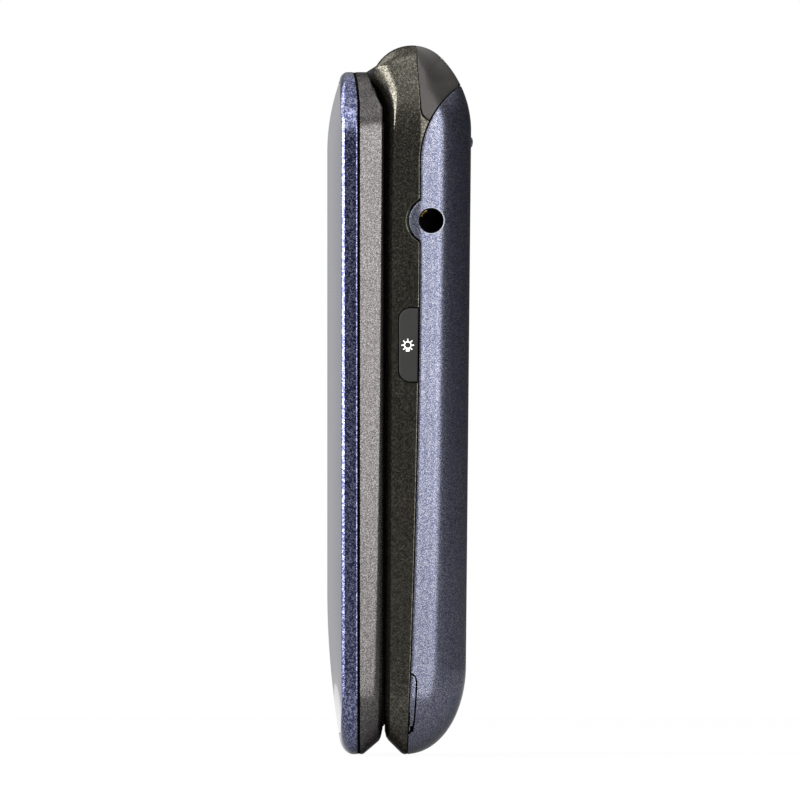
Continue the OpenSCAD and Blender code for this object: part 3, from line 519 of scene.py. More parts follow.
def makeLidPlate(s):
    # rings of the lid's outline drawn in to its middle line, laid on the crowned face, with a flat underside
    x0, z0 = insetLoop(lidLoop(), *s["in"])
    t = np.concatenate([[0, 0.002], np.linspace(0.012, 1, s["rings"])])[:, None]
    midZ = np.interp(z0, [z0.min(), z0.max()], s["middle"])
    x, z = x0 * (1 - t), z0 * (1 - t) + midZ * t
    top = lidCrown(x, z)
    top[0] += s["edge"]
    wall = np.stack([top[0], top[0] - s["edge"] + s["thick"]])
    under = lidCrown(x, z) + s["thick"]
    skins = [skin(x, top, z, True), skin(x[[0, 0]], wall, z[[0, 0]], True), skin(x, under, z, True)]
    return buildMesh("lid_face", skins)


lidCover = {
    "rim": [(0.73, 3.17, 1.67), (0.67, 3.08, 1.6)], "sideIn": 0.2, "sideR": 0.27, "sideDeep": 0.44,
    "lowR": 2.75, "lowDeep": 1.95, "highR": 1.25, "highDeep": 1.05, "arc": 13, "start": 0.12, "blunt": 1.75,
    "seam": [(0.03, 0.01, -0.42), (0.02, 0.0, -0.36), (0.032, 0.012, -0.28), (0.065, 0.045, -0.18),
             (0.9, 0.9, -0.16), (1.6, 1.6, -0.16), (1.6, 3.2, -1.3)],
    "turn": 0.68, "turnZ": 98.5, "rimSunk": (0.02, 0.0),
}


def lidSeamLine(z):
    # the lid's seam turns towards the face near the hinge
    start = lidCover["turnZ"]
    return phone["lidSeam"] - lidCover["turn"] * np.maximum(0, (z - start) / (phone["lidTop"] - start)) ** 2


def makeLidCover(s):
    # a closed profile carried round the outline: rim on the crowned face, quarter round, side, seam and inner wall
    loop = lidLoop()
    nz = loop[3]
    a = np.linspace(s["start"], math.pi / 2, s["arc"])
    blunt = s["blunt"] * (1 - nz ** 2) + nz ** 2
    arc = 1 - np.sin(a)[:, None] ** blunt
    rim, seam = np.array(s["rim"]), np.array(s["seam"])
    full = np.ones_like(nz)
    sideIn = np.concatenate([rim[:, :1] * full, s["sideIn"] + s["sideR"] * arc, seam[:, :1] * full])
    lowIn = np.concatenate([rim[:, 1:2] * full, s["lowR"] * arc, seam[:, 1:2] * full])
    highIn = np.concatenate([rim[:, 2:] * full, s["highR"] * arc, seam[:, 1:2] * full])
    x, z = insetLoop(loop, sideIn, lowIn, highIn)
    deep = s["sideDeep"] * (1 - nz ** 2) + np.where(nz < 0, s["lowDeep"], s["highDeep"]) * nz ** 2
    n = len(rim)
    y = np.empty_like(x)
    y[:n] = lidCrown(x[:n], z[:n]) + col(*s["rimSunk"])
    y[n:n + s["arc"]] = lidCrown(x[n], z[n]) + deep * (1 - np.cos(a)[:, None] ** blunt)
    y[n + s["arc"]:] = lidSeamLine(z[n + s["arc"]:]) + seam[:, 2:]
    return buildMesh("lid_shell", [skin(x, y, z, True, True)])


lidShadeStrip = {"in": (0.45, 1.3), "raise": 0.38, "half": 0.42}


def makeLidShadeStrip(s):
    # a near-black strip behind the lid's seam, carried round the outline: painted shade that stands in for the shadow
    # in the gap
    depth = col(*s["in"], *s["in"][::-1])
    x, z = insetLoop(lidLoop(), depth, depth - s["raise"], depth - s["raise"])
    y = lidSeamLine(z) + s["half"] * col(-1, -1, 1, 1)
    return buildMesh("lid_shade_strip", [skin(x, y, z, True, True)])


hingeRoom = {"middle": 7.2, "edge": 0.6, "fade": 3.6,
             "endZ": [98.5, 99.5, 101.3, 103.2, 104.1], "end": [5.45, 5.38, 5.56, 6.65, 7.25]}


def sweepFace(x, z):
    # front of the space kept free for the body's knuckles, seen from the lid: a circle about the hinge
    # whose radius is constant in the middle, and smaller and slanted at the outer ends
    s, r = hingeRoom, phone["cornerHigh"]
    corner = chord(r, np.clip(z - phone["lidTop"] + r, 0, r))
    t = np.clip(1 - (phone["halfWidth"] - r - s["edge"] + corner - np.abs(x)) / s["fade"], 0, 1)
    room = s["middle"] + (np.interp(z, s["endZ"], s["end"]) - s["middle"]) * (1 - np.sqrt(1 - t ** 2))
    half = chord(room, z - phone["hingeZ"])
    return np.where(half > 0, phone["hingeY"] - half, far)


lidFrame = {
    "rows": [0, .03, .08, .15, .22, .3, .4, .5, .58, .66, .72, .78, .83, .87, .9, .925, .95, .97, .985, .995, 1.0],
    "draft": 0.6, "start": 0.25, "filletZ": [0, 6.6, 11, 17, 24, 30, 51, 89.2, 104],
    "fillet": [1.9, 1.85, 1.5, 1.3, 1.1, 0.95, 0.55, 0.2, 0.15], "filletDrop": 0.75, "highFillet": (0.35, 0.3),
    "lowAt": [0, 0.19, 0.30, 0.86, 0.93, 1], "lowIn": [0, 0.02, 0.35, 2.1, 2.7, 3.9], "back": 1.6,
    "lipIn": (0.04, 0.03, 0.03), "lipDeep": 0.03, "blend": 0.25, "seatShare": (0.998, 0.998, 0.9), "behind": 0.5,
    "lens": (13.0, 81.06, 22.15, 2.15, 2.15), "faceRings": 44, "ease": 0.06, "seat": (0.08, 0.9), "innerY": -4.15,
}


def makeLidFrame(s):
    # the outline drawn in by draft, chamfer and fillet row by row, then the inner face in rings to the window
    loop = lidLoop()
    seamY, inY = phone["lidSeam"], phone["lidInner"]
    v = np.array(s["rows"])[:, None]
    x0, z0 = loop[0], loop[1]
    near = np.minimum(inY, sweepFace(x0 - loop[2] * s["draft"], z0))
    startY = lidSeamLine(z0) + s["start"]
    y = startY + (near - startY) * v
    deep = (1 - v) * (near - startY)
    full = np.clip((y - seamY) / (inY - seamY), 0, 1)
    f = np.interp(z0, s["filletZ"], s["fillet"])
    sideIn = s["draft"] * full + roundOff(deep, f, s["filletDrop"] * f)
    x, z = insetLoop(loop, sideIn, np.interp(full, s["lowAt"], s["lowIn"]), roundOff(deep, *s["highFillet"]))
    back = s["back"]
    lipX, lipZ = insetLoop(loop, *[[back, edge] for edge in s["lipIn"]])
    lipY = np.stack([startY, startY])
    y = y + np.where(v == 0, s["lipDeep"], 0)
    windowX, windowZ = outlineLoop(*s["lens"])[:2]
    t = shares(s["faceRings"])
    fx, fz = x[-1] * (1 - t) + windowX * t, z[-1] * (1 - t) + windowZ * t
    fy = np.minimum(softMin(np.full_like(fx, inY), sweepFace(fx, fz), s["blend"]), inY)
    ease = easeTo(t / s["ease"])
    fy = y[-1] * (1 - ease) + fy * ease
    seat = col(inY - s["seat"][0], inY - s["seat"][1], s["innerY"]) + 0 * fx[-1]
    sx, sz = fx[-1] * col(*s["seatShare"]), np.stack([fz[-1]] * 3)
    backX, backZ = insetLoop(loop, back, back, back)
    x = np.concatenate([lipX, x, fx, sx, backX])
    z = np.concatenate([lipZ, z, fz, sz, backZ])
    y = np.concatenate([lipY, y, fy, seat, np.minimum(s["innerY"], near - s["behind"])[None]])
    return [skin(x, y, z, True, True)]


knuckle = {"half": 14.0, "round": 0.18, "turns": (147.4, -135.1), "steps": 72, "middle": (-1.0, 100.5),
           "startY": [-5.35, -4.5], "startZ": [103.9, 104.45],
           "webY": [-2.65, -2.65, -5.35, -5.35], "webZ": [96.4, 95.5, 95.5, 100]}


def makeKnuckle(s):
    # the barrel's circle joined by a web to the lid, carried across the middle, its ends drawn in a little
    hy, hz, r = phone["hingeY"], phone["hingeZ"], phone["barrel"]
    a = np.radians(np.linspace(*s["turns"], s["steps"]))
    py = np.concatenate([s["startY"], hy + r * np.cos(a), s["webY"]])
    pz = np.concatenate([s["startZ"], hz + r * np.sin(a), s["webZ"]])
    w, k = s["half"], s["round"]
    across = col(-w, -w, -w + 0.3 * k, -w + k, w - k, w - 0.3 * k, w, w)
    scale = col(0.0, 1 - k / r, 1 - 0.3 * k / r, 1, 1, 1 - 0.3 * k / r, 1 - k / r, 0.0)
    midY, midZ = s["middle"]
    return skin(across, midY + (py - midY) * scale, midZ + (pz - midZ) * scale, True)


dress(makeLidPlate(lidPlate), "lidGloss", "lid", "lid_gloss", "lid_plate")
dress(makeLidCover(lidCover), "lidPaintShaded", "lid", "blue_paint", "lid_cover")
# the near-black strip in the lid's seam is painted shade
dress(makeLidShadeStrip(lidShadeStrip), "seamShadeBlack", "lid", "rubber")
lidInside = buildMesh("lid_inner_frame", makeLidFrame(lidFrame))
lidKnuckle = buildMesh("lid_knuckle", [makeKnuckle(knuckle)])


lidHoles = {"slot": (0, 8.6, 10.3, 2.1, 1.04, -5, -2),
            "screwX": (-19, 19), "screwZ": (7.6, 87.55), "screw": (3.0, 3.0, 1.49, -3.4, -2)}


def lidTools(s):
    # openings in the inner frame: the earpiece slot and the screw recesses
    screws = [prismY(x, z, *s["screw"]) for x in s["screwX"] for z in s["screwZ"]]
    return buildMesh("lidTool", [prismY(*s["slot"])] + screws)


cut(lidInside, lidTools(lidHoles))
dress(lidInside, "frameGrey", "lid", "grey_frame", "lid_frame")
# the knuckle's near-black finish is painted shade
dress(lidKnuckle, "hingeShadeBlack", "lid", "grey_frame")

lidBead = {"in": 4.1, "low": 4.7, "high": 9.6, "corner": 7.7, "half": 0.45, "proud": 0.305, "sunk": 0.3}


def makeLidBead(s):
    # a soft bead round the inner frame that closes the gap: half an ellipse carried round the outline
    loop = outlineLoop(0, phone["lidTop"], phone["halfWidth"], phone["cornerLow"], s["corner"])
    a = np.concatenate([np.linspace(0, math.pi, 11), [math.pi, 0]])
    off = s["half"] * np.cos(a)
    y = phone["lidInner"] + s["proud"] * np.sin(a)
    y[-2:] = phone["lidInner"] - s["sunk"]
    x, z = insetLoop(loop, s["in"] + off, s["low"] + off, s["high"] + off)
    return buildMesh("lid_bead", [skin(x, y[:, None], z, True, True)])


dress(makeLidBead(lidBead), "softRubber", "lid", "rubber")
print("lid made")


# body

backCurve = {"lowY": 1.05, "heelDeep": 9.0, "lean": 0.8, "leanTop": 95, "leanRun": 81.5}


def backLine(z):
    # the back seen from the side: heel ellipse, leaning straight, shoulder circle
    s, h, top = backCurve, phone["heel"], shoulder["z"]
    heel = s["lowY"] + s["heelDeep"] * np.sqrt(np.clip(1 - ((h - np.minimum(z, h)) / h) ** 2, 0, 1))
    lean = phone["back"] - s["lean"] * (s["leanTop"] - z) / s["leanRun"]
    arc = shoulder["y"] + chord(shoulder["r"], np.maximum(z - top, 0))
    return np.where(z < h, heel, np.where(z > top, arc, lean))


bodySide = {
    "rimZ": [0, 8, 23, 46, 75, 84.6, 92.3, 95.2, 96.85, 98.4, 99.9, 101.45, 103, 104.5, 106],
    "rimY": [-1.55, -1.55, -1.42, -1.31, -1.2, -1.15, -1.0, -0.95, -0.92, -1.08, -1.5, -2.42, -3.8, -4.7, -5.5],
    "rimWide": [0.02] * 8 + [0.25, 0.85, 1.8, 3.3, 4.7, 5.2, 5.3],
    "rimSteep": [1.8] * 7 + [1.9, 2.0, 2.2] + [2.4] * 5,
    "moreZ": [8, 14, 30, 46, 70], "more": [0.8, 0.75, 0.4, 0.15, 0.1],
    "rimShare": 0.4, "topReach": 2.2, "topDrop": 1.7, "topFrom": 99.5, "topRun": 3,
    "barrelEnd": 120, "turnFrom": 99, "heelTop": 14, "heelShare": 0.92,
    "draft": 0.62, "lean": 0.085, "crown": 1.6, "crownZ": 94, "crownRun": 14,
    "turn": [-5, 10, 43.5, 85], "reach": [5.0, 4.9, 3.75, 2.2], "drop": [6.6, 6.6, 6.0, 2.6],
}


def draftAt(y, z):
    # the sides are widest at the seam: they lean in towards the keypad, and a little towards the back
    edge = seamLine(z)
    front = bodySide["draft"] * np.clip((edge - y) / (edge - phone["face"]), 0, 1)
    crown = bodySide["crown"] * np.clip((z - bodySide["crownZ"]) / bodySide["crownRun"], 0, 1) ** 2
    return front + bodySide["lean"] * np.maximum(0, y - edge) + crown


def inBarrel(y, z):
    # depth inside the hinge barrel, seen from the side
    return phone["barrel"] - np.hypot(y - phone["hingeY"], z - phone["hingeZ"])


def frontInset(y, z):
    # draft, then a cubic behind the rim's line in the side view, a steep straight flank in front of it,
    # and a quarter ellipse over the top of the hinge barrel
    s = bodySide
    off = y - np.interp(z, s["rimZ"], s["rimY"])
    wide, steep = np.interp(z, s["rimZ"], s["rimWide"]), np.interp(z, s["rimZ"], s["rimSteep"])
    edge = s["rimShare"] * wide * np.clip(1 - np.maximum(off, 0) / wide, 0, 1) ** 3 + steep * np.maximum(0, -off)
    deep = inBarrel(y, z)
    over = roundOff(deep, s["topReach"], s["topDrop"]) * easeTo((z - s["topFrom"]) / s["topRun"])
    return draftAt(y, z) + np.maximum(edge, over)


def backInset(y, z, room=far):
    # rounding towards the back, measured from the side view's outline
    s, c = bodySide, shoulder
    around = np.degrees(np.arctan2(z - phone["hingeZ"], y - phone["hingeY"]))
    onBarrel = (around > c["turn"]) & (around < s["barrelEnd"])
    deep = np.where(z > c["z"], c["r"] - np.hypot(y - c["y"], z - c["z"]), backLine(z) - y)
    deep = np.where(onBarrel, inBarrel(y, z), deep)
    around = np.where(z < s["turnFrom"], s["turn"][0], around)
    reach = np.interp(around, s["turn"], s["reach"]) + np.interp(z, s["moreZ"], s["more"])
    reach = np.minimum(reach, np.where(z < s["heelTop"], s["heelShare"] * room, far))
    return draftAt(y, z) + roundOff(deep, reach, np.interp(around, s["turn"], s["drop"]))


slotHalf, slotRadius, slotPlay = 14.25, 7.72, 0.04


def slotTool():
    # space swept by the lid's web in the middle of the hinge
    w, r = slotHalf - slotPlay, slotRadius
    return buildMesh("slotTool", [latheX(phone["hingeY"], phone["hingeZ"], [-w, -w, w, w], [0, r, r, 0], 96)])


keyLayout = {
    "size": (13.6, 9.45, 2.5), "stepX": 15.2, "stepZ": 11.65, "lowZ": 14.925, "play": 0.15, "open": (-1, 1.6),
    "rows": [["key_star", "key_0", "key_hash"], ["key_7", "key_8", "key_9"],
             ["key_4", "key_5", "key_6"], ["key_1", "key_2", "key_3"]],
    "upperZ": 69.8, "cornerAt": (15.85, 6.45), "cornerSize": (12.3, 10.7, 2.5), "scrollSize": (15, 26, 5),
    "corners": [("soft_left", -1, 1), ("soft_right", 1, 1), ("call_key", -1, -1), ("end_key", 1, -1)],
}


def keyTable(s):
    # name, centre x and z, width, height and corner of every key
    rows = [(n, (c - 1) * s["stepX"], s["lowZ"] + r * s["stepZ"], *s["size"])
            for r, line in enumerate(s["rows"]) for c, n in enumerate(line)]
    dx, dz = s["cornerAt"]
    rows += [(n, x * dx, s["upperZ"] + z * dz, *s["cornerSize"]) for n, x, z in s["corners"]]
    return rows + [("scroll_key", 0, s["upperZ"], *s["scrollSize"])]


keys = keyTable(keyLayout)

frontFrame = {"rows": 34, "spread": 1.6, "close": [0.964, 0.972, 0.98, 0.988, 0.994, 1.0], "wall": 0.9,
              "cornerSteps": 15, "turnEnd": 85, "turnSteps": 54, "jackGrow": 0.21,
              "rimFrom": (2, 6), "rimTo": (95.2, 2), "rimRow": 8, "rimHalf": 0.015, "roll": (1.25, 0.2),
              "drumShare": [0.985, 0.97, 0.5], "drumIn": [0.08, 0.1, 0.1],
              "tip": 96.6, "top": 107.93, "capZ": [96.6, 97.1, 98, 100, 104.5, 109],
              "capY": [4.25, 3.55, 3.2, 3.05, 2.75, 2.4], "lowY": [0, 0.25, 0.6, 2.1, 2.5, 2.9],
              "lowIn": [3.6, 2.6, 2.1, 0.62, 0.22, 0.0], "torch": (62.36, 11.2), "rocker": (62.4, 20.0),
              "keySlot": {"over": 0.6, "shift": 1.67, "deep": 2.33, "play": 0.34, "corner": 1.9, "x": (24, 29)}}


def sideRows():
    # heights of the rows up one side, closer together round the headphone hole and near the hinge
    junction = phone["hingeZ"] - math.sqrt(phone["barrel"] ** 2 - (phone["face"] - phone["hingeY"]) ** 2)
    runs = [(phone["cornerLow"], 77, 60), (77.2, 85.4, 48), (85.9, 94.5, 14), (95, junction, 9)]
    return np.concatenate([np.linspace(*run) for run in runs])[1:], junction


def makeFrontFrame(s):
    # lines drawn from the front edge of the side view to the seam, carried up one side,
    # round the end and down the other
    hy, hz, r, corner, front = [phone[n] for n in ("hingeY", "hingeZ", "barrel", "cornerLow", "face")]
    z, junction = sideRows()
    a = np.linspace(0, math.pi / 2, s["cornerSteps"])
    turnStart = math.degrees(math.atan2(junction - hz, front - hy)) % 360
    turn = np.radians(np.linspace(turnStart, s["turnEnd"], s["turnSteps"]))[1:]
    zFront = np.concatenate([corner - corner * np.cos(a), z, hz + r * np.sin(turn)])
    yFront = np.concatenate([np.full(a.size + z.size, front), hy + r * np.cos(turn)])
    zRear = np.minimum(zFront, s["top"])
    flatX = phone["halfWidth"] - corner
    outX = np.concatenate([flatX + corner * np.sin(a), np.full(z.size + turn.size, phone["halfWidth"])])
    nx = np.concatenate([np.sin(a), np.ones(z.size + turn.size)])
    nz = np.concatenate([-np.cos(a), np.zeros(z.size + turn.size)])
    plain = np.where(zRear > s["tip"], np.interp(zRear, s["capZ"], s["capY"]), coverEdge(zRear)) - phone["ahead"]
    jack = softMin(plain, jackBulge(zRear, s["jackGrow"]) - phone["ahead"], phone["jackBlend"])
    v = np.append(np.linspace(0, 1, s["rows"])[:-1] ** s["spread"], s["close"])[:, None]

    rim = np.interp(zFront, bodySide["rimZ"], bodySide["rimY"])
    (low, lowRun), (high, highRun) = s["rimFrom"], s["rimTo"]
    onRim = easeTo((zFront - low) / lowRun) * (1 - easeTo((zFront - high) / highRun))
    row, m, d = np.arange(v.size)[:, None], s["rimRow"], s["rimHalf"]
    rollBy, rollWide = s["roll"]

    def side(sign, yRear):
        # two rows of the grid follow the rim's line closely
        even, zz = yFront + (yRear - yFront) * v, zFront + (zRear - zFront) * v
        ahead = yFront + (rim - d - yFront) * np.minimum(row / (m - 1), 1)
        after = rim + d + (yRear - rim - d) * np.clip((v - v[m]) / (1 - v[m]), 0, 1)
        y = even + (np.where(row < m, ahead, after) - even) * onRim
        lowIn = np.interp(y, front + np.array(s["lowY"]), s["lowIn"])
        softened = rollBy * np.clip(rollWide - (yRear - y), 0, None) ** 2  # the edge along the seam rolls in
        return sign * (outX - nx * (frontInset(y, zz) + softened)), y, zz - nz * lowIn

    rx, ry, rz = side(1, jack)
    lx, ly, lz = side(-1, plain)
    part = np.linspace(0, 1, 9)
    inner = np.linspace(-slotHalf, slotHalf, 21)[1:-1]

    def across(edge):
        # columns over the width: even in the middle, stretched to the edge outside it
        reach = slotHalf + (np.asarray(edge)[..., None] - slotHalf) * part
        mid = np.broadcast_to(inner, reach.shape[:-1] + inner.shape)
        return np.concatenate([-reach[..., ::-1], mid, reach], -1)

    bx = across(flatX)[1:-1]
    by = front + (seamLine(np.zeros_like(bx)) - phone["ahead"] - front) * v
    bz = np.interp(by, front + np.array(s["lowY"]), s["lowIn"])
    x = np.concatenate([lx[:, ::-1], np.broadcast_to(bx, by.shape), rx], 1)
    y = np.concatenate([ly[:, ::-1], by, ry], 1)
    zAll = np.concatenate([lz[:, ::-1], bz, rz], 1)
    band = skin(x, y, zAll)
    n = a.size + z.size
    face = skin(across(rx[0, :n]), front, rz[0, :n, None])
    wide = slotHalf + (rx[0, n - 1:, None] - slotHalf) * part[::-1]
    py, pz = ry[0, n - 1:, None], rz[0, n - 1:, None]
    k = np.append(np.ones(part.size), s["drumShare"])
    capX = np.concatenate([wide, slotHalf - np.array(s["drumIn"]) + 0 * wide[:, :3]], 1)
    drum = [skin(sign * capX, hy + (py - hy) * k, hz + (pz - hz) * k) for sign in (1, -1)]
    return buildMesh("keypad_frame", [band, face] + drum)


trough = {"turns": (-146, -34), "steps": 34, "past": 0.3, "near": 0.02, "far": 0.8}


def makeTrough(s):
    # the hollow behind the lid's knuckle: an arc carried across the slot, with a wall behind it
    a = np.radians(np.linspace(*s["turns"], s["steps"]))
    w = slotHalf + s["past"]
    r = slotRadius + col(s["near"], s["near"], s["far"], s["far"])
    body = skin(col(-w, w, w, -w), phone["hingeY"] + r * np.cos(a), phone["hingeZ"] + r * np.sin(a), False, True)
    return buildMesh("hinge_trough", [body] + closeEnds(body))


def sideKeySlots(s):
    # openings for the torch key and the volume rocker, up to the seam and over it
    tools, k = [], s["keySlot"]
    for sign, (z, long) in ((1, s["torch"]), (-1, s["rocker"])):
        edge, (inner, outer) = seamLine(z) + k["over"], k["x"]
        tools.append(prismX((edge + k["shift"]) / 2, z, edge + k["deep"], long + k["play"], k["corner"],
                            sign * inner, sign * outer))
    return buildMesh("sideTool", tools)


usbLow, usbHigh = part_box("usb_socket")
usbY, usbZ = (usbLow[1] + usbHigh[1]) / 2 / mm, (usbLow[2] + usbHigh[2]) / 2 / mm
usbTall, usbWide = (usbHigh[1] - usbLow[1]) / mm + 0.5, (usbHigh[2] - usbLow[2]) / mm + 0.5


# a bar's place in y, its depth, width and corner, and where it starts and ends in x
socketInside = [(1.35, 2.08, 6.78, 0.3, 4.7, 4.98), (1.6, 0.66, 4.88, 0.2, 0.9, 4.8)]


def makeSocketInside(bars):
    # a dark wall at the end of the charging socket and a tongue in front of it
    x, y = usbLow[0] / mm, usbLow[1] / mm
    return buildMesh("socket_tongue", [prismX(y + off, usbZ, deep, wide, r, x + start, x + end)
                                       for off, deep, wide, r, start, end in bars])


dress(makeSocketInside(socketInside), "blackPlastic", "base", "black_plastic")


def usbTool(corner=0.8, outer=-30, inner=-22):
    # the charging socket's opening: a rounded bar along x
    return buildMesh("usbTool", [prismX(usbY, usbZ, usbTall, usbWide, corner, outer, inner)])


bodyShadeStrip = {"in": (0.55, 1.4), "raise": 0.47, "half": 0.3, "top": 97.4,
            "rodAt": (8.89, 101.93), "rodX": (14.4, 21.5), "rodR": 0.26}


def makeBodyShadeStrip(s):
    # a near-black strip behind the rear seam, carried down one side, round the end and up the other,
    # and two rods under the cap's rear seam: painted shade that stands in for the shadow in these gaps
    x, z, nx, nz = outlineLoop(0, 108, phone["halfWidth"], phone["cornerLow"], 7)
    turn, order = int(np.argmax(z > s["top"])), np.flatnonzero(z <= s["top"])
    order = np.concatenate([order[order > turn], order[order <= turn]])
    x, z, nx, nz = x[order], z[order], nx[order], nz[order]
    depth, y = col(*s["in"], *s["in"][::-1]), coverEdge(z) + s["half"] * col(-1, -1, 1, 1)
    band = skin(x - nx * depth, y, z - nz * (depth - s["raise"]), False, True)
    ends, r = np.repeat(s["rodX"], 2), [0, s["rodR"], s["rodR"], 0]
    rods = [latheX(*s["rodAt"], sign * ends, r, 24) for sign in (-1, 1)]
    return buildMesh("body_shade_strip", [band] + closeEnds(band) + rods)


def keyTool(s):
    # openings for the keys, wider by the play all round
    play, start, end = s["play"], phone["face"] + s["open"][0], phone["face"] + s["open"][1]
    return buildMesh("keyTool", [prismY(x, z, w + 2 * play, h + 2 * play, r + play, start, end)
                                 for _, x, z, w, h, r in keys])


frontPiece = makeFrontFrame(frontFrame)
thicken(frontPiece, frontFrame["wall"])
cut(frontPiece, slotTool(), sideKeySlots(frontFrame), usbTool(), keyTool(keyLayout))
# the body's frame takes the darker copy of the frame grey: painted shade
dress(frontPiece, "frameGreyShaded", "base", "grey_frame", "front_frame")
dress(makeTrough(trough), "frameGreyShaded", "base", "grey_frame")
# near-black strips and rods: painted shade in the rear seams
shadeStripPiece = makeBodyShadeStrip(bodyShadeStrip)
cut(shadeStripPiece, usbTool(), buildMesh("jackTool", [jackBore(2.3, 40)]))
dress(shadeStripPiece, "seamShadeBlack", "base", "rubber")
print("front frame made:", len(frontPiece.data.polygons), "faces")


topCap = {"wall": 0.9, "rows": 30, "spread": 2.2, "low": 96.75, "turns": (84.4, 25.9), "steps": (22, 14),
          "tip": 0.05, "stripCols": 41,
          "torchX": 19.3, "torchTilt": 47.0, "torchR": 1.85}


def makeTopCap(s):
    # a patch between the cap's four edges in the side view, set out to the rounded side, and a strip over the top
    gap, hy, hz, r = phone["gap"], phone["hingeY"], phone["hingeZ"], phone["barrel"]
    barrelTurn = np.radians(np.linspace(s["turns"][0], shoulder["turn"], s["steps"][0]))
    shoulderTurn = np.radians(np.linspace(shoulder["turn"], s["turns"][1], s["steps"][1]))[1:]
    topY = np.concatenate([hy + r * np.cos(barrelTurn), shoulder["y"] + shoulder["r"] * np.cos(shoulderTurn)])
    topZ = np.concatenate([hz + r * np.sin(barrelTurn), shoulder["z"] + shoulder["r"] * np.sin(shoulderTurn)])
    q = np.linspace(0, 1, s["rows"]) ** s["spread"]
    frontZ = topZ[0] + (s["low"] - topZ[0]) * q
    frontY = np.interp(frontZ, frontFrame["capZ"], frontFrame["capY"]) + gap
    start = math.atan2(topZ[-1] - sweep["z"], topY[-1] - sweep["y"])
    end = math.atan2(s["low"] - sweep["z"], frontY[-1] + s["tip"] - sweep["y"])
    rearTurn, out = start + (end - start) * q, sweep["r"] + gap
    rearY, rearZ = sweep["y"] + out * np.cos(rearTurn), sweep["z"] + out * np.sin(rearTurn)
    along = np.concatenate([[0], np.cumsum(np.hypot(np.diff(topY), np.diff(topZ)))])
    t = along / along[-1]

    def patch(front, rear, top):
        # a blend from the front to the rear edge, and what the top edge adds, fading to the low end
        side = front[:, None] * (1 - t) + rear[:, None] * t
        return side + (1 - q[:, None]) * (top - front[0] * (1 - t) - rear[0] * t)

    y, z = patch(frontY, rearY, topY), patch(frontZ, rearZ, topZ)
    x = phone["halfWidth"] - backInset(y, z)
    x[0] = phone["halfWidth"] - draftAt(topY, topZ) - np.interp(
        np.degrees(np.arctan2(topZ - hz, topY - hy)), bodySide["turn"], bodySide["drop"])
    over = np.linspace(-1, 1, s["stripCols"])[:, None]
    strip = skin(x[0] * over, y[0], z[0])
    return buildMesh("hinge_cap", [skin(x, y, z), skin(-x, y, z), strip])


def torchTool(s):
    # a round hole square to the barrel
    tilt = math.radians(s["torchTilt"])
    a = circle(40)
    r, h = col(0, s["torchR"], s["torchR"], 0), col(3.0, 3.0, 9.0, 9.0)
    x = s["torchX"] + r * np.cos(a)
    y = phone["hingeY"] + h * math.cos(tilt) - r * np.sin(a) * math.sin(tilt)
    z = phone["hingeZ"] + h * math.sin(tilt) + r * np.sin(a) * math.cos(tilt)
    return buildMesh("torchTool", [skin(x, y, z, True)])


capPiece = makeTopCap(topCap)
thicken(capPiece, topCap["wall"])
cut(capPiece, slotTool(), torchTool(topCap))
dress(capPiece, "capGrey", "base", "cap_grey", "top_cap")
print("top cap made:", len(capPiece.data.polygons), "faces")


rearCover = {"wall": 1.0, "top": 101.8, "sideCols": 34, "backCols": 16,
             "heelTurns": (0.8, 90, 34), "heelTop": 14, "archFrom": 0.02, "archSteps": 40, "leastRoom": 0.05,
             "slots": 5, "slotStep": 2.1, "slotZ": 86.75, "slot": (1.0, 5.0, 0.49, 8, 13),
             "jackHole": 1.95, "nubX": 8.0, "nubZ": 93.4, "nubR": 0.75, "nubHigh": 0.3, "nubSunk": 0.015}


def makeRearCover(s):
    # sections at one height each: out from the seam, round to the back and over to the other seam
    gap = phone["gap"]
    heel = phone["heel"] * (1 - np.cos(np.radians(np.linspace(*s["heelTurns"]))))
    z, start = sideRows()[0], sweep["z"]
    arch = start + (s["top"] - start) * np.sin(np.linspace(s["archFrom"], math.pi / 2, s["archSteps"]))
    z = np.concatenate([heel, z[(z > s["heelTop"]) & (z < start)], arch])
    rear = backLine(z)
    plain = np.minimum(coverEdge(z) + gap, rear)
    jack = np.minimum(softMin(plain, jackBulge(z) + gap, phone["jackBlend"]), rear)
    wide = phone["halfWidth"] - cornerIn(z)
    p = np.sin(np.linspace(0, math.pi / 2, s["sideCols"]))

    def half(start):
        # one side, from its seam to the middle of the back
        y = start[:, None] + (rear - start)[:, None] * p
        x = wide[:, None] - backInset(y, z[:, None], np.maximum((rear - start)[:, None], s["leastRoom"]))
        mid = x[:, -1:] * np.linspace(1, 0, s["backCols"] + 1)[1:]
        return np.concatenate([x, mid], 1), np.concatenate([y, np.broadcast_to(rear[:, None], mid.shape)], 1)

    rx, ry = half(jack)
    lx, ly = half(plain)
    x = np.concatenate([rx, -lx[:, -2::-1]], 1)
    y = np.concatenate([ry, ly[:, -2::-1]], 1)
    return buildMesh("back_cover", [skin(x, y, z[:, None])])


def makeNubs(s):
    # two small domes that the phone rests on when it lies on its back
    a = circle(32)
    t = np.linspace(0, math.pi / 2, 9)[:, None]
    r = np.concatenate([col(0, s["nubR"]), s["nubR"] * np.cos(t)])
    y = phone["back"] - s["nubSunk"] + np.concatenate([col(-s["nubHigh"], -s["nubHigh"]), s["nubHigh"] * np.sin(t)])
    places = (-s["nubX"], s["nubX"])
    return buildMesh("rest_nubs", [skin(x + r * np.cos(a), y, s["nubZ"] + r * np.sin(a), True) for x in places])


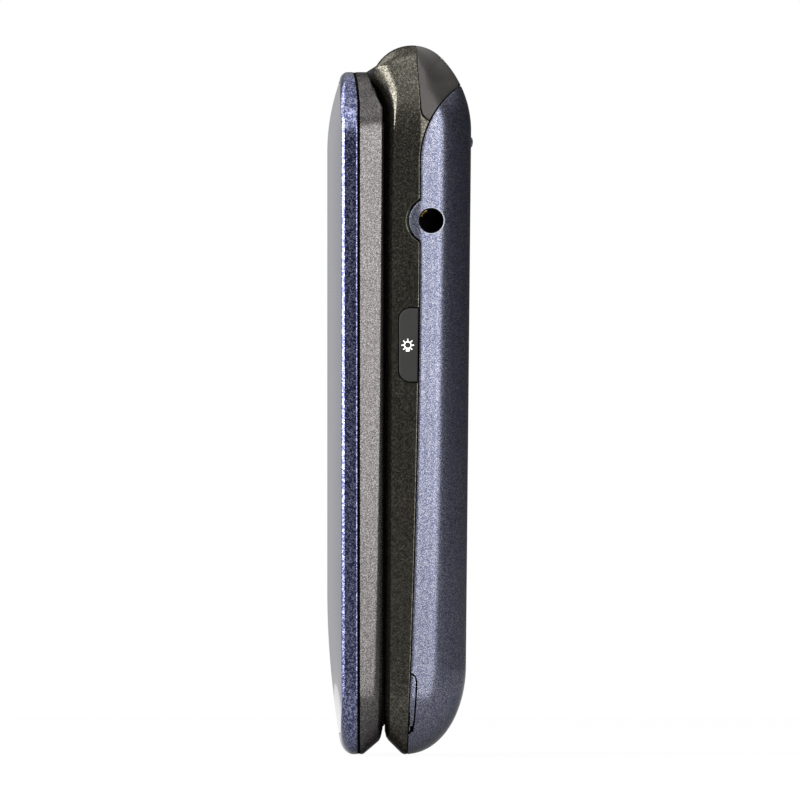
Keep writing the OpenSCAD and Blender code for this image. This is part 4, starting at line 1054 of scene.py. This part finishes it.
nailNotch = {
    "z": [3.2, 3.7, 4.4, 5.2, 6.5, 8.0, 10.0, 11.2, 11.9, 12.4],
    "off": [0.1, 0.55, 0.8, 0.9, 0.97, 1.0, 1.03, 1.0, 0.8, 0.1],
    "wide": [0.15] * 3 + [0.14] + [0.13] * 6, "deep": 1.5,
    "pockets": [(1.66, 3.9, 0.85, 0.95, 0.3, 23.5, 29), (1.36, 5.0, 0.32, 3.2, 0.14, 24, 29)],
}


def notchTool(s):
    # the nail notch beside the seam: a groove carried round a small tab
    z = np.array(s["z"])
    y = seamLine(z) + np.array(s["off"])
    ty, tz = np.gradient(y), np.gradient(z)
    size = np.hypot(ty, tz)
    off = np.array(s["wide"]) * col(-1, -1, 1, 1)
    x = phone["halfWidth"] - cornerIn(z) + col(-s["deep"], 1, 1, -s["deep"])
    groove = skin(x, y + off * tz / size, z - off * ty / size, False, True)
    return buildMesh("notchTool", [groove] + closeEnds(groove))


def pocketTool(s):
    # the place for the nail itself, between the seam and the groove's lower end
    return buildMesh("pocketTool", [prismX(*pocket) for pocket in s["pockets"]])


def coverTools(s):
    # the headphone hole and the loudspeaker's slots
    places = (np.arange(s["slots"]) - (s["slots"] - 1) / 2) * s["slotStep"]
    slots = [prismY(x, s["slotZ"], *s["slot"]) for x in places]
    return buildMesh("coverTool", [jackBore(s["jackHole"], 64)] + slots)


coverPiece = makeRearCover(rearCover)
thicken(coverPiece, rearCover["wall"])
cut(coverPiece, slotTool(), usbTool(), coverTools(rearCover), notchTool(nailNotch), pocketTool(nailNotch))
dress(coverPiece, "bluePaint", "rear_cover", "blue_paint", "rear_cover")
dress(makeNubs(rearCover), "bluePaint", "rear_cover", "blue_paint")
print("rear cover made:", len(coverPiece.data.polygons), "faces")


# keys

keyShape = {"rim": [(0, 1.4), (0, 0.5), (0.05, 0.32), (0.15, 0.2), (0.32, 0.13), (0.6, 0.09)],
            "crown": 0.07, "rings": 8, "steps": (8, 6, 8)}
scrollKey = {"at": [0, 0.06, 0.2, 0.36, 0.455, 0.475, 0.5, 0.52, 0.56, 0.7, 1.0],
             "deep": [0.09, 0.12, 0.26, 0.2, 0.12, 0.2, 0.42, 0.42, 0.12, 0.06, 0.03],
             "rings": 46, "steps": (12, 12, 24)}


def makeFrontKey(name, cx, cz, w, h, r, s):
    # the key's outline drawn in step by step over a rounded rim, then scaled to its middle on a shallow crown,
    # or along a profile: the scroll key's dished ring, groove and raised centre
    x, z, nx, nz = outlineLoop(-h / 2, h / 2, w / 2, r, r, *s["steps"])
    rim = np.array(keyShape["rim"])
    rx, rz = x - nx * rim[:, :1], z - nz * rim[:, :1]
    t = shares(s["rings"])
    depth = np.interp(t, s["at"], s["deep"]) if "at" in s else rim[-1, 1] - s["crown"] * (1 - (1 - t) ** 2)
    y = np.concatenate([rim[:1, 1:], rim[:, 1:], depth])
    allX = np.concatenate([x[None] * 0, rx, rx[-1] * (1 - t)])
    allZ = np.concatenate([z[None] * 0, rz, rz[-1] * (1 - t)])
    return buildMesh(name + "_cap", [skin(cx + allX, phone["face"] + y, cz + allZ, True)])


keyMark = {"front": 0.006, "deep": 0.07, "figure": 6.4, "star": 9.0, "sheet": 0.006, "weld": 0.001,
           "arc": 2.7, "sweep": (-62, 62), "thick": 0.4, "ends": 0.75, "endsAt": 34, "endsRun": 10, "sink": 0.8,
           "dash": (3.6, 0.7), "arrow": 0.75, "raised": (0.1, 0.34),
           "arrows": [(0.0, 10.4, 0), (0.0, -10.4, 180), (-5.6, 0.0, 90), (5.6, 0.0, -90)]}


def makeLegend(name, text, cx, cz, s):
    # a printed figure: the letter form made a thin mesh and stood up to face the user
    curve = bpy.data.curves.new(name, "FONT")
    curve.body, curve.size = text, (s["star"] if text == "*" else s["figure"]) * mm
    curve.extrude, curve.resolution_u = s["sheet"] * mm, 6
    curve.align_x, curve.align_y = "CENTER", "CENTER"
    holder = addObject(name, curve)
    graph = bpy.context.evaluated_depsgraph_get()
    mesh = bpy.data.meshes.new_from_object(holder.evaluated_get(graph))
    bpy.data.curves.remove(curve)
    co = np.empty(len(mesh.vertices) * 3)
    mesh.vertices.foreach_get("co", co)
    co = co.reshape(-1, 3)
    u, v = (co - (co.max(0) + co.min(0)) / 2)[:, :2].T
    y = phone["face"] + np.where(co[:, 2] > 0, s["front"], s["deep"])
    mesh.vertices.foreach_set("co", np.stack([cx * mm + u, y * mm, cz * mm + v], -1).ravel())
    return addObject(name, mesh)


def filled(u, w, near, far):
    # a plate of one outline between two depths, filled towards its middle:
    # gives the first coordinate, the depth and the second coordinate
    k = col(0, 1, 1, 0)
    return u.mean() + (u - u.mean()) * k, col(near, near, far, far), w.mean() + (w - w.mean()) * k


def printed(u, w, front, deep):
    # a thin plate on a key's face
    x, y, z = filled(u, w, phone["face"] + front, phone["face"] + deep)
    return skin(x, y, z, True)


def bar(halfU, halfW):
    # the four corners of a bar about its middle
    return halfU * np.array([-1, 1, 1, -1.0]), halfW * np.array([-1, -1, 1, 1.0])


def handset(cx, cz, tilt, s):
    # a receiver: a band along an arc, thicker towards its middle at both ends
    a = np.linspace(*s["sweep"], 27)
    ends = easeTo((np.abs(a) - s["endsAt"]) / s["endsRun"])
    inner, outer = s["arc"] - s["thick"] - s["ends"] * ends, s["arc"] + s["thick"] + 0 * ends
    r = np.stack([inner, outer, outer, inner])
    turn, lean = np.radians(a + 90 + tilt), math.radians(90 + tilt)
    x = cx + r * np.cos(turn) - s["sink"] * s["arc"] * math.cos(lean)
    z = cz + r * np.sin(turn) - s["sink"] * s["arc"] * math.sin(lean)
    band = skin(x, phone["face"] + col(s["front"], s["front"], s["deep"], s["deep"]), z, False, True)
    return [band] + closeEnds(band)


def arrows(cx, cz, s):
    # four arrowheads on the dished ring, each a triangle that points outwards
    u, w = np.array([-1.0, 1.0, 0.0]) * s["arrow"], np.array([-0.4, -0.4, 0.6]) * s["arrow"]
    parts = []
    for dx, dz, turn in s["arrows"]:
        c, n = math.cos(math.radians(turn)), math.sin(math.radians(turn))
        parts.append(printed(cx + dx + u * c - w * n, cz + dz + u * n + w * c, *s["raised"]))
    return parts


def dash(cx, cz, s):
    # a short bar
    u, w = bar(s["dash"][0] / 2, s["dash"][1] / 2)
    return [printed(cx + u, cz + w, s["front"], s["deep"])]


def keySign(name, x, z, s):
    # the mark on a key and its finish
    if name == "scroll_key":
        return buildMesh("scroll_signs", arrows(x, z, s), s["weld"]), "printWhite"
    if name == "call_key":
        return buildMesh("call_sign", handset(x, z, 45, s), s["weld"]), "printGreen"
    if name == "end_key":
        return buildMesh("end_sign", handset(x, z, 0, s), s["weld"]), "printRed"
    if name.startswith("soft"):
        return buildMesh(name + "_sign", dash(x, z, s), s["weld"]), "printWhite"
    text = {"key_star": "*", "key_hash": "#"}.get(name, name[4:])
    return makeLegend("legend_" + name[4:], text, x, z, s), "printWhite"


for row in keys:
    name, x, z = row[:3]
    cap = makeFrontKey(*row, scrollKey if name == "scroll_key" else keyShape)
    dress(cap, "keyPlastic", name, "key_plastic", name)
    dress(*keySign(name, x, z, keyMark), name, "key_plastic")
print("keys made")


sideKey = {"rim": [(-0.45, 25.05), (-0.45, 25.35), (0, 25.35), (0, 26.94),
                   (0.02, 27.0), (0.05, 27.03), (0.1, 27.05), (0.2, 27.058)],
           "flat": 4, "top": 27.06, "front": -0.16, "corner": 1.75, "slope": 0.44, "clear": 0.12, "rings": 8}


def keyFace(y, z0, s):
    # x of the key's flat, which leans in towards the keypad
    edge = seamLine(z0)
    return s["top"] - s["slope"] * np.clip((edge - y) / (edge - s["front"]), 0, 1)


def makeSideKey(name, z0, long, sign, s):
    # a rounded outline cut off straight along the seam, drawn in over a rounded rim and on to its middle line
    edge = seamLine(z0)
    midY, halfY = (s["front"] + edge + 2) / 2, (edge + 2 - s["front"]) / 2
    y, z, ny, nz = outlineLoop(-long / 2, long / 2, halfY, s["corner"], s["corner"], 8, 10, 16)
    rim = np.array(s["rim"])
    ry, rz = midY + y - ny * rim[:, :1], z0 + z - nz * rim[:, :1]
    ry = np.minimum(ry, seamLine(rz) - s["clear"] - rim[:, :1])
    t = shares(s["rings"])
    cy = (s["front"] + edge) / 2
    line = np.interp(rz[-1], [z0 - long / 2, z0 + long / 2], [z0 - long / 4, z0 + long / 4])
    allY = np.concatenate([np.full((1, y.size), cy), ry, ry[-1] * (1 - t) + cy * t])
    allZ = np.concatenate([line[None], rz, rz[-1] * (1 - t) + line * t])
    x = np.concatenate([rim[:1, 1:], rim[:, 1:], np.full(t.shape, s["top"])]) + 0 * allY
    top = slice(s["flat"], None)
    x[top] = np.minimum(x[top], x[top] - s["top"] + keyFace(allY[top], z0, s))
    return buildMesh(name, [skin(sign * x, allY, allZ, True)])


sideMark = {"height": (-0.06, 0.015), "weld": 0.001,
            "lamp": (1.18, 62.35), "ring": 0.5, "line": 0.15, "rayOut": 0.96, "foot": (0.28, 0.62, 0.95),
            "volumeY": 1.25, "volumeZ": 6.4, "long": 0.85, "half": 0.13}


def barX(y, z, h):
    # a plate on the outline y, z, from the low to the high x
    v, x, w = filled(y, z, *h)
    return skin(x, v, w, True)


def makeSideMark(name, skins, z0, sign, s):
    # prints stand on the key: their x is a height over the key's flat
    placed = []
    for points, cells in skins:
        x = sign * (keyFace(points[..., 1], z0, s) + points[..., 0])
        placed.append((np.stack([x, points[..., 1], points[..., 2]], -1), cells))
    return buildMesh(name, placed, sideMark["weld"])


def torchSign(s):
    # a lamp: a ring, seven rays that leave it and a small foot
    half, h, (y, z) = s["line"] / 2, s["height"], s["lamp"]
    inner, outer = s["ring"] - half, s["ring"] + half
    parts = [latheX(y, z, [h[0], h[1], h[1], h[0]], [inner, inner, outer, outer], 40, True)]
    u, w = np.array([s["ring"], s["rayOut"], s["rayOut"], s["ring"]]), np.array([-half, -half, half, half])
    for turn in np.radians([-45, 0, 45, 90, 135, 180, 225]):
        c, n = math.cos(turn), math.sin(turn)
        parts.append(barX(y + u * c - w * n, z + u * n + w * c, h))
    wide, near, far = s["foot"]
    parts.append(barX(y + wide * np.array([-1, 1, 1, -1.0]), z - np.array([near, near, far, far]), h))
    return parts


def volumeSigns(z0, s):
    # a plus at the upper end of the rocker and a minus at the lower
    y, off, h = s["volumeY"], s["volumeZ"], s["height"]
    u, w = bar(s["long"], s["half"])
    return [barX(y + u, z0 + off + w, h), barX(y + w[::-1], z0 + off + u[::-1], h), barX(y + u, z0 - off + w, h)]


for name, body, sign, (z, long), marks in (
        ("torch", "torch_key", 1, frontFrame["torch"], torchSign(sideMark)),
        ("volume", "volume_rocker", -1, frontFrame["rocker"], volumeSigns(frontFrame["rocker"][0], sideMark))):
    dress(makeSideKey(name + "_button", z, long, sign, sideKey), "sideKeyGrey", body, "key_plastic", body)
    signName = "torch_sign" if name == "torch" else "volume_signs"
    dress(makeSideMark(signName, marks, z, sign, sideKey), "printWhite", body, "key_plastic")
print("side keys made")


jackTrim = {"hole": 1.93, "lip": 0.15, "x": 26.84, "deep": 0.1, "contact": (20.5, 25.6), "arc": (112, 158),
            "bore": 1.72, "hump": 0.28, "humpX": 24.2, "humpLong": 0.7, "sheet": 0.08}


def makeJackRim(s):
    # a small rounded lip turned round the headphone hole, in a pale grey that is a painted highlight of the hole's
    # edge
    a = circle(12)
    half = s["lip"] / 2
    along, radius = s["x"] + s["deep"] * np.cos(a), s["hole"] + half + half * np.sin(a)
    return buildMesh("jack_lip", [latheX(phone["jackY"], phone["jackZ"], along, radius, 64, True)])


def makeJackContact(s):
    # a sprung strip in the bore: a short arc carried inwards with a hump
    a = np.radians(np.linspace(*s["arc"], 9))
    x = np.linspace(*s["contact"], 14)[:, None]
    r = s["bore"] - s["hump"] * np.exp(-((x - s["humpX"]) / s["humpLong"]) ** 2)
    piece = buildMesh("jack_contact", [skin(x, phone["jackY"] + r * np.cos(a), phone["jackZ"] + r * np.sin(a))])
    thicken(piece, s["sheet"], 0)
    return piece


dress(makeJackRim(jackTrim), "jackRimHighlight", "rear_cover", "blue_paint")
dress(makeJackContact(jackTrim), "goldContact", "base", "gold")


# CAD nodes that stay

nodeFinish = {
    "darkGlass": ["outer_display", "display_lens"],
    "screenGlass": ["main_display"],
    "brightMetal": ["hinge_pin", "hinge_bush", "hinge_can", "shield_cans", "lid_magnet", "usb_socket",
                    "vibration_motor", "vibration_weight", "sim_holder", "card_holder", "key_domes"],
    "blackPlastic": ["camera_module", "earpiece", "earpiece_grille", "loudspeaker", "microphone", "side_switches"],
    "innerPlastic": ["rear_housing"],
    "boardGreen": ["lid_board", "main_board"],
    "goldContact": ["battery_contacts", "antenna"],
    # the jack socket takes the darkest rough black: painted shade inside the headphone hole
    "softRubber": ["jack_socket", "lid_bumpers", "keypad_mat"],
    "batteryWrap": ["battery"],
    "diodeYellow": ["torch_led"],
    "lampClear": ["torch_lens"],
    "darkSteel": ["lid_screws", "body_screws"],
}
for finishName, names in nodeFinish.items():
    for name in names:
        nodes[name].data.materials.clear()
        nodes[name].data.materials.append(materials[finishName])


# studio

studio = {
    "scale": 0.1224, "far": 5.0, "sensor": 36.0, "aim": (0.0, 0.0, 0.0540),
    "key": {"turn": 18, "rise": 0, "far": 0.6, "wide": 0.28, "tall": 0.42, "power": 2.52},
    "fill": {"turn": -100, "rise": 40, "far": 0.7, "wide": 0.55, "tall": 0.6, "power": 5.0},
    "rim": {"turn": -58, "rise": 13, "far": 0.7, "wide": 0.45, "tall": 0.36, "power": 8.8},
    "top": {"turn": -10, "rise": 30, "far": 0.7, "wide": 0.5, "tall": 0.42, "power": 1.92},
    "front": [(0.0, 0.55), (0.06, 0.30), (0.16, 0.05), (0.5, 0.04), (0.65, 0.06), (1.0, 0.06)],
    "behind": [(0.0, 0.54), (0.40, 0.49), (0.50, 0.36), (0.58, 0.12), (1.0, 0.06)], "blue": 1.02,
    "sideEdge": (0.15, -0.15), "ceiling": 1.75, "ceilingEdge": (0.3, 0.72), "backdrop": (-0.9985, -0.9999),
    "floorHalf": 0.6, "floorZ": -0.0003, "floorTone": 0.42, "floorShine": 0.28, "floorWhite": 0.97,
}


def placeLamp(name, s):
    # a soft lamp on a circle round the phone, turned from the camera's side towards the back
    lamp = bpy.data.lights.new(name, "AREA")
    lamp.shape, lamp.size, lamp.size_y, lamp.energy = "RECTANGLE", s["wide"], s["tall"], s["power"]
    holder = addObject(name, lamp)
    turn, rise = math.radians(s["turn"]), math.radians(s["rise"])
    away = np.array([math.cos(turn) * math.cos(rise), math.sin(turn) * math.cos(rise), math.sin(rise)]) * s["far"]
    holder.location = away + np.array(studio["aim"])
    holder.rotation_euler = (math.pi / 2 - rise, 0, turn + math.pi / 2)


for name in ("key", "fill", "rim", "top"):
    placeLamp(name + "Lamp", studio[name])


def whiteShare(tree, mirror):
    # 1 for the camera and through glass, and the given share for mirrors
    path = addNode(tree, "ShaderNodeLightPath").outputs
    direct = calc(tree, "MAXIMUM", path["Is Camera Ray"], path["Is Transmission Ray"])
    return calc(tree, "MAXIMUM", direct, calc(tree, "MULTIPLY", path["Is Glossy Ray"], mirror))


def setWorld(s):
    # white for the camera and through glass, white straight behind the phone for mirrors too,
    # and elsewhere a grey room with a light ceiling that is lighter on the lid's side
    world = bpy.data.worlds.new("room")
    scene.world = world
    world.use_nodes = True
    tree = world.node_tree
    split = addNode(tree, "ShaderNodeSeparateXYZ")
    join(tree, split.inputs[0], addNode(tree, "ShaderNodeTexCoord").outputs["Generated"])
    x, y, z = split.outputs
    turn = scaled(tree, y, (-1.0, 1.0))
    ramps = []
    for levels in (s["front"], s["behind"]):
        ramp = addNode(tree, "ShaderNodeValToRGB")
        while len(ramp.color_ramp.elements) < len(levels):
            ramp.color_ramp.elements.new(0.5)
        for element, (at, level) in zip(ramp.color_ramp.elements, levels):
            element.position, element.color = at, (level, level, level * s["blue"], 1)
        join(tree, ramp.inputs["Fac"], turn)
        ramps.append(ramp.outputs["Color"])
    room = mixed(tree, scaled(tree, x, s["sideEdge"]), *ramps)
    room = mixed(tree, scaled(tree, z, s["ceilingEdge"]), room, (s["ceiling"], s["ceiling"], s["ceiling"], 1))
    seen = mixed(tree, whiteShare(tree, scaled(tree, x, s["backdrop"])), room, (1, 1, 1, 1))
    join(tree, tree.nodes["Background"].inputs["Color"], seen)


def makeFloor(s):
    # a pale floor just under the phone; the camera sees it mostly white, with a trace of shadow
    mesh = bpy.data.meshes.new("floor")
    half, z, tone = s["floorHalf"], s["floorZ"], s["floorTone"]
    mesh.from_pydata([(-half, -half, z), (half, -half, z), (half, half, z), (-half, half, z)], [], [(0, 1, 2, 3)])
    floor = addObject("floor", mesh)
    material = bpy.data.materials.new("paleFloor")
    material.use_nodes = True
    tree = material.node_tree
    shader = tree.nodes["Principled BSDF"]
    setAll(shader.inputs, {"Base Color": (tone, tone, tone, 1), "Roughness": 0.9, "Specular IOR Level": 0.1})
    glow = addNode(tree, "ShaderNodeEmission", Strength=1.0)
    mix = addNode(tree, "ShaderNodeMixShader")
    join(tree, mix.inputs["Fac"], calc(tree, "MULTIPLY", whiteShare(tree, s["floorShine"]), s["floorWhite"]))
    join(tree, mix.inputs[1], shader.outputs[0])
    join(tree, mix.inputs[2], glow.outputs[0])
    join(tree, tree.nodes["Material Output"].inputs["Surface"], mix.outputs[0])
    mesh.materials.append(material)


def setCamera(s):
    # a long lens square to the phone's side, so that the picture is 122.4 mm wide at the middle of the phone
    data = bpy.data.cameras.new("sideView")
    camera = addObject("sideView", data)
    data.sensor_width, data.sensor_fit = s["sensor"], "HORIZONTAL"
    data.lens = s["sensor"] * s["far"] / s["scale"]
    data.clip_start, data.clip_end = 0.1, 50.0
    camera.location = (s["far"], s["aim"][1], s["aim"][2])
    camera.rotation_euler = (math.pi / 2, 0, math.pi / 2)
    scene.camera = camera


setWorld(studio)
makeFloor(studio)
setCamera(studio)
scene.view_settings.view_transform = "Standard"

print("phone dressed")
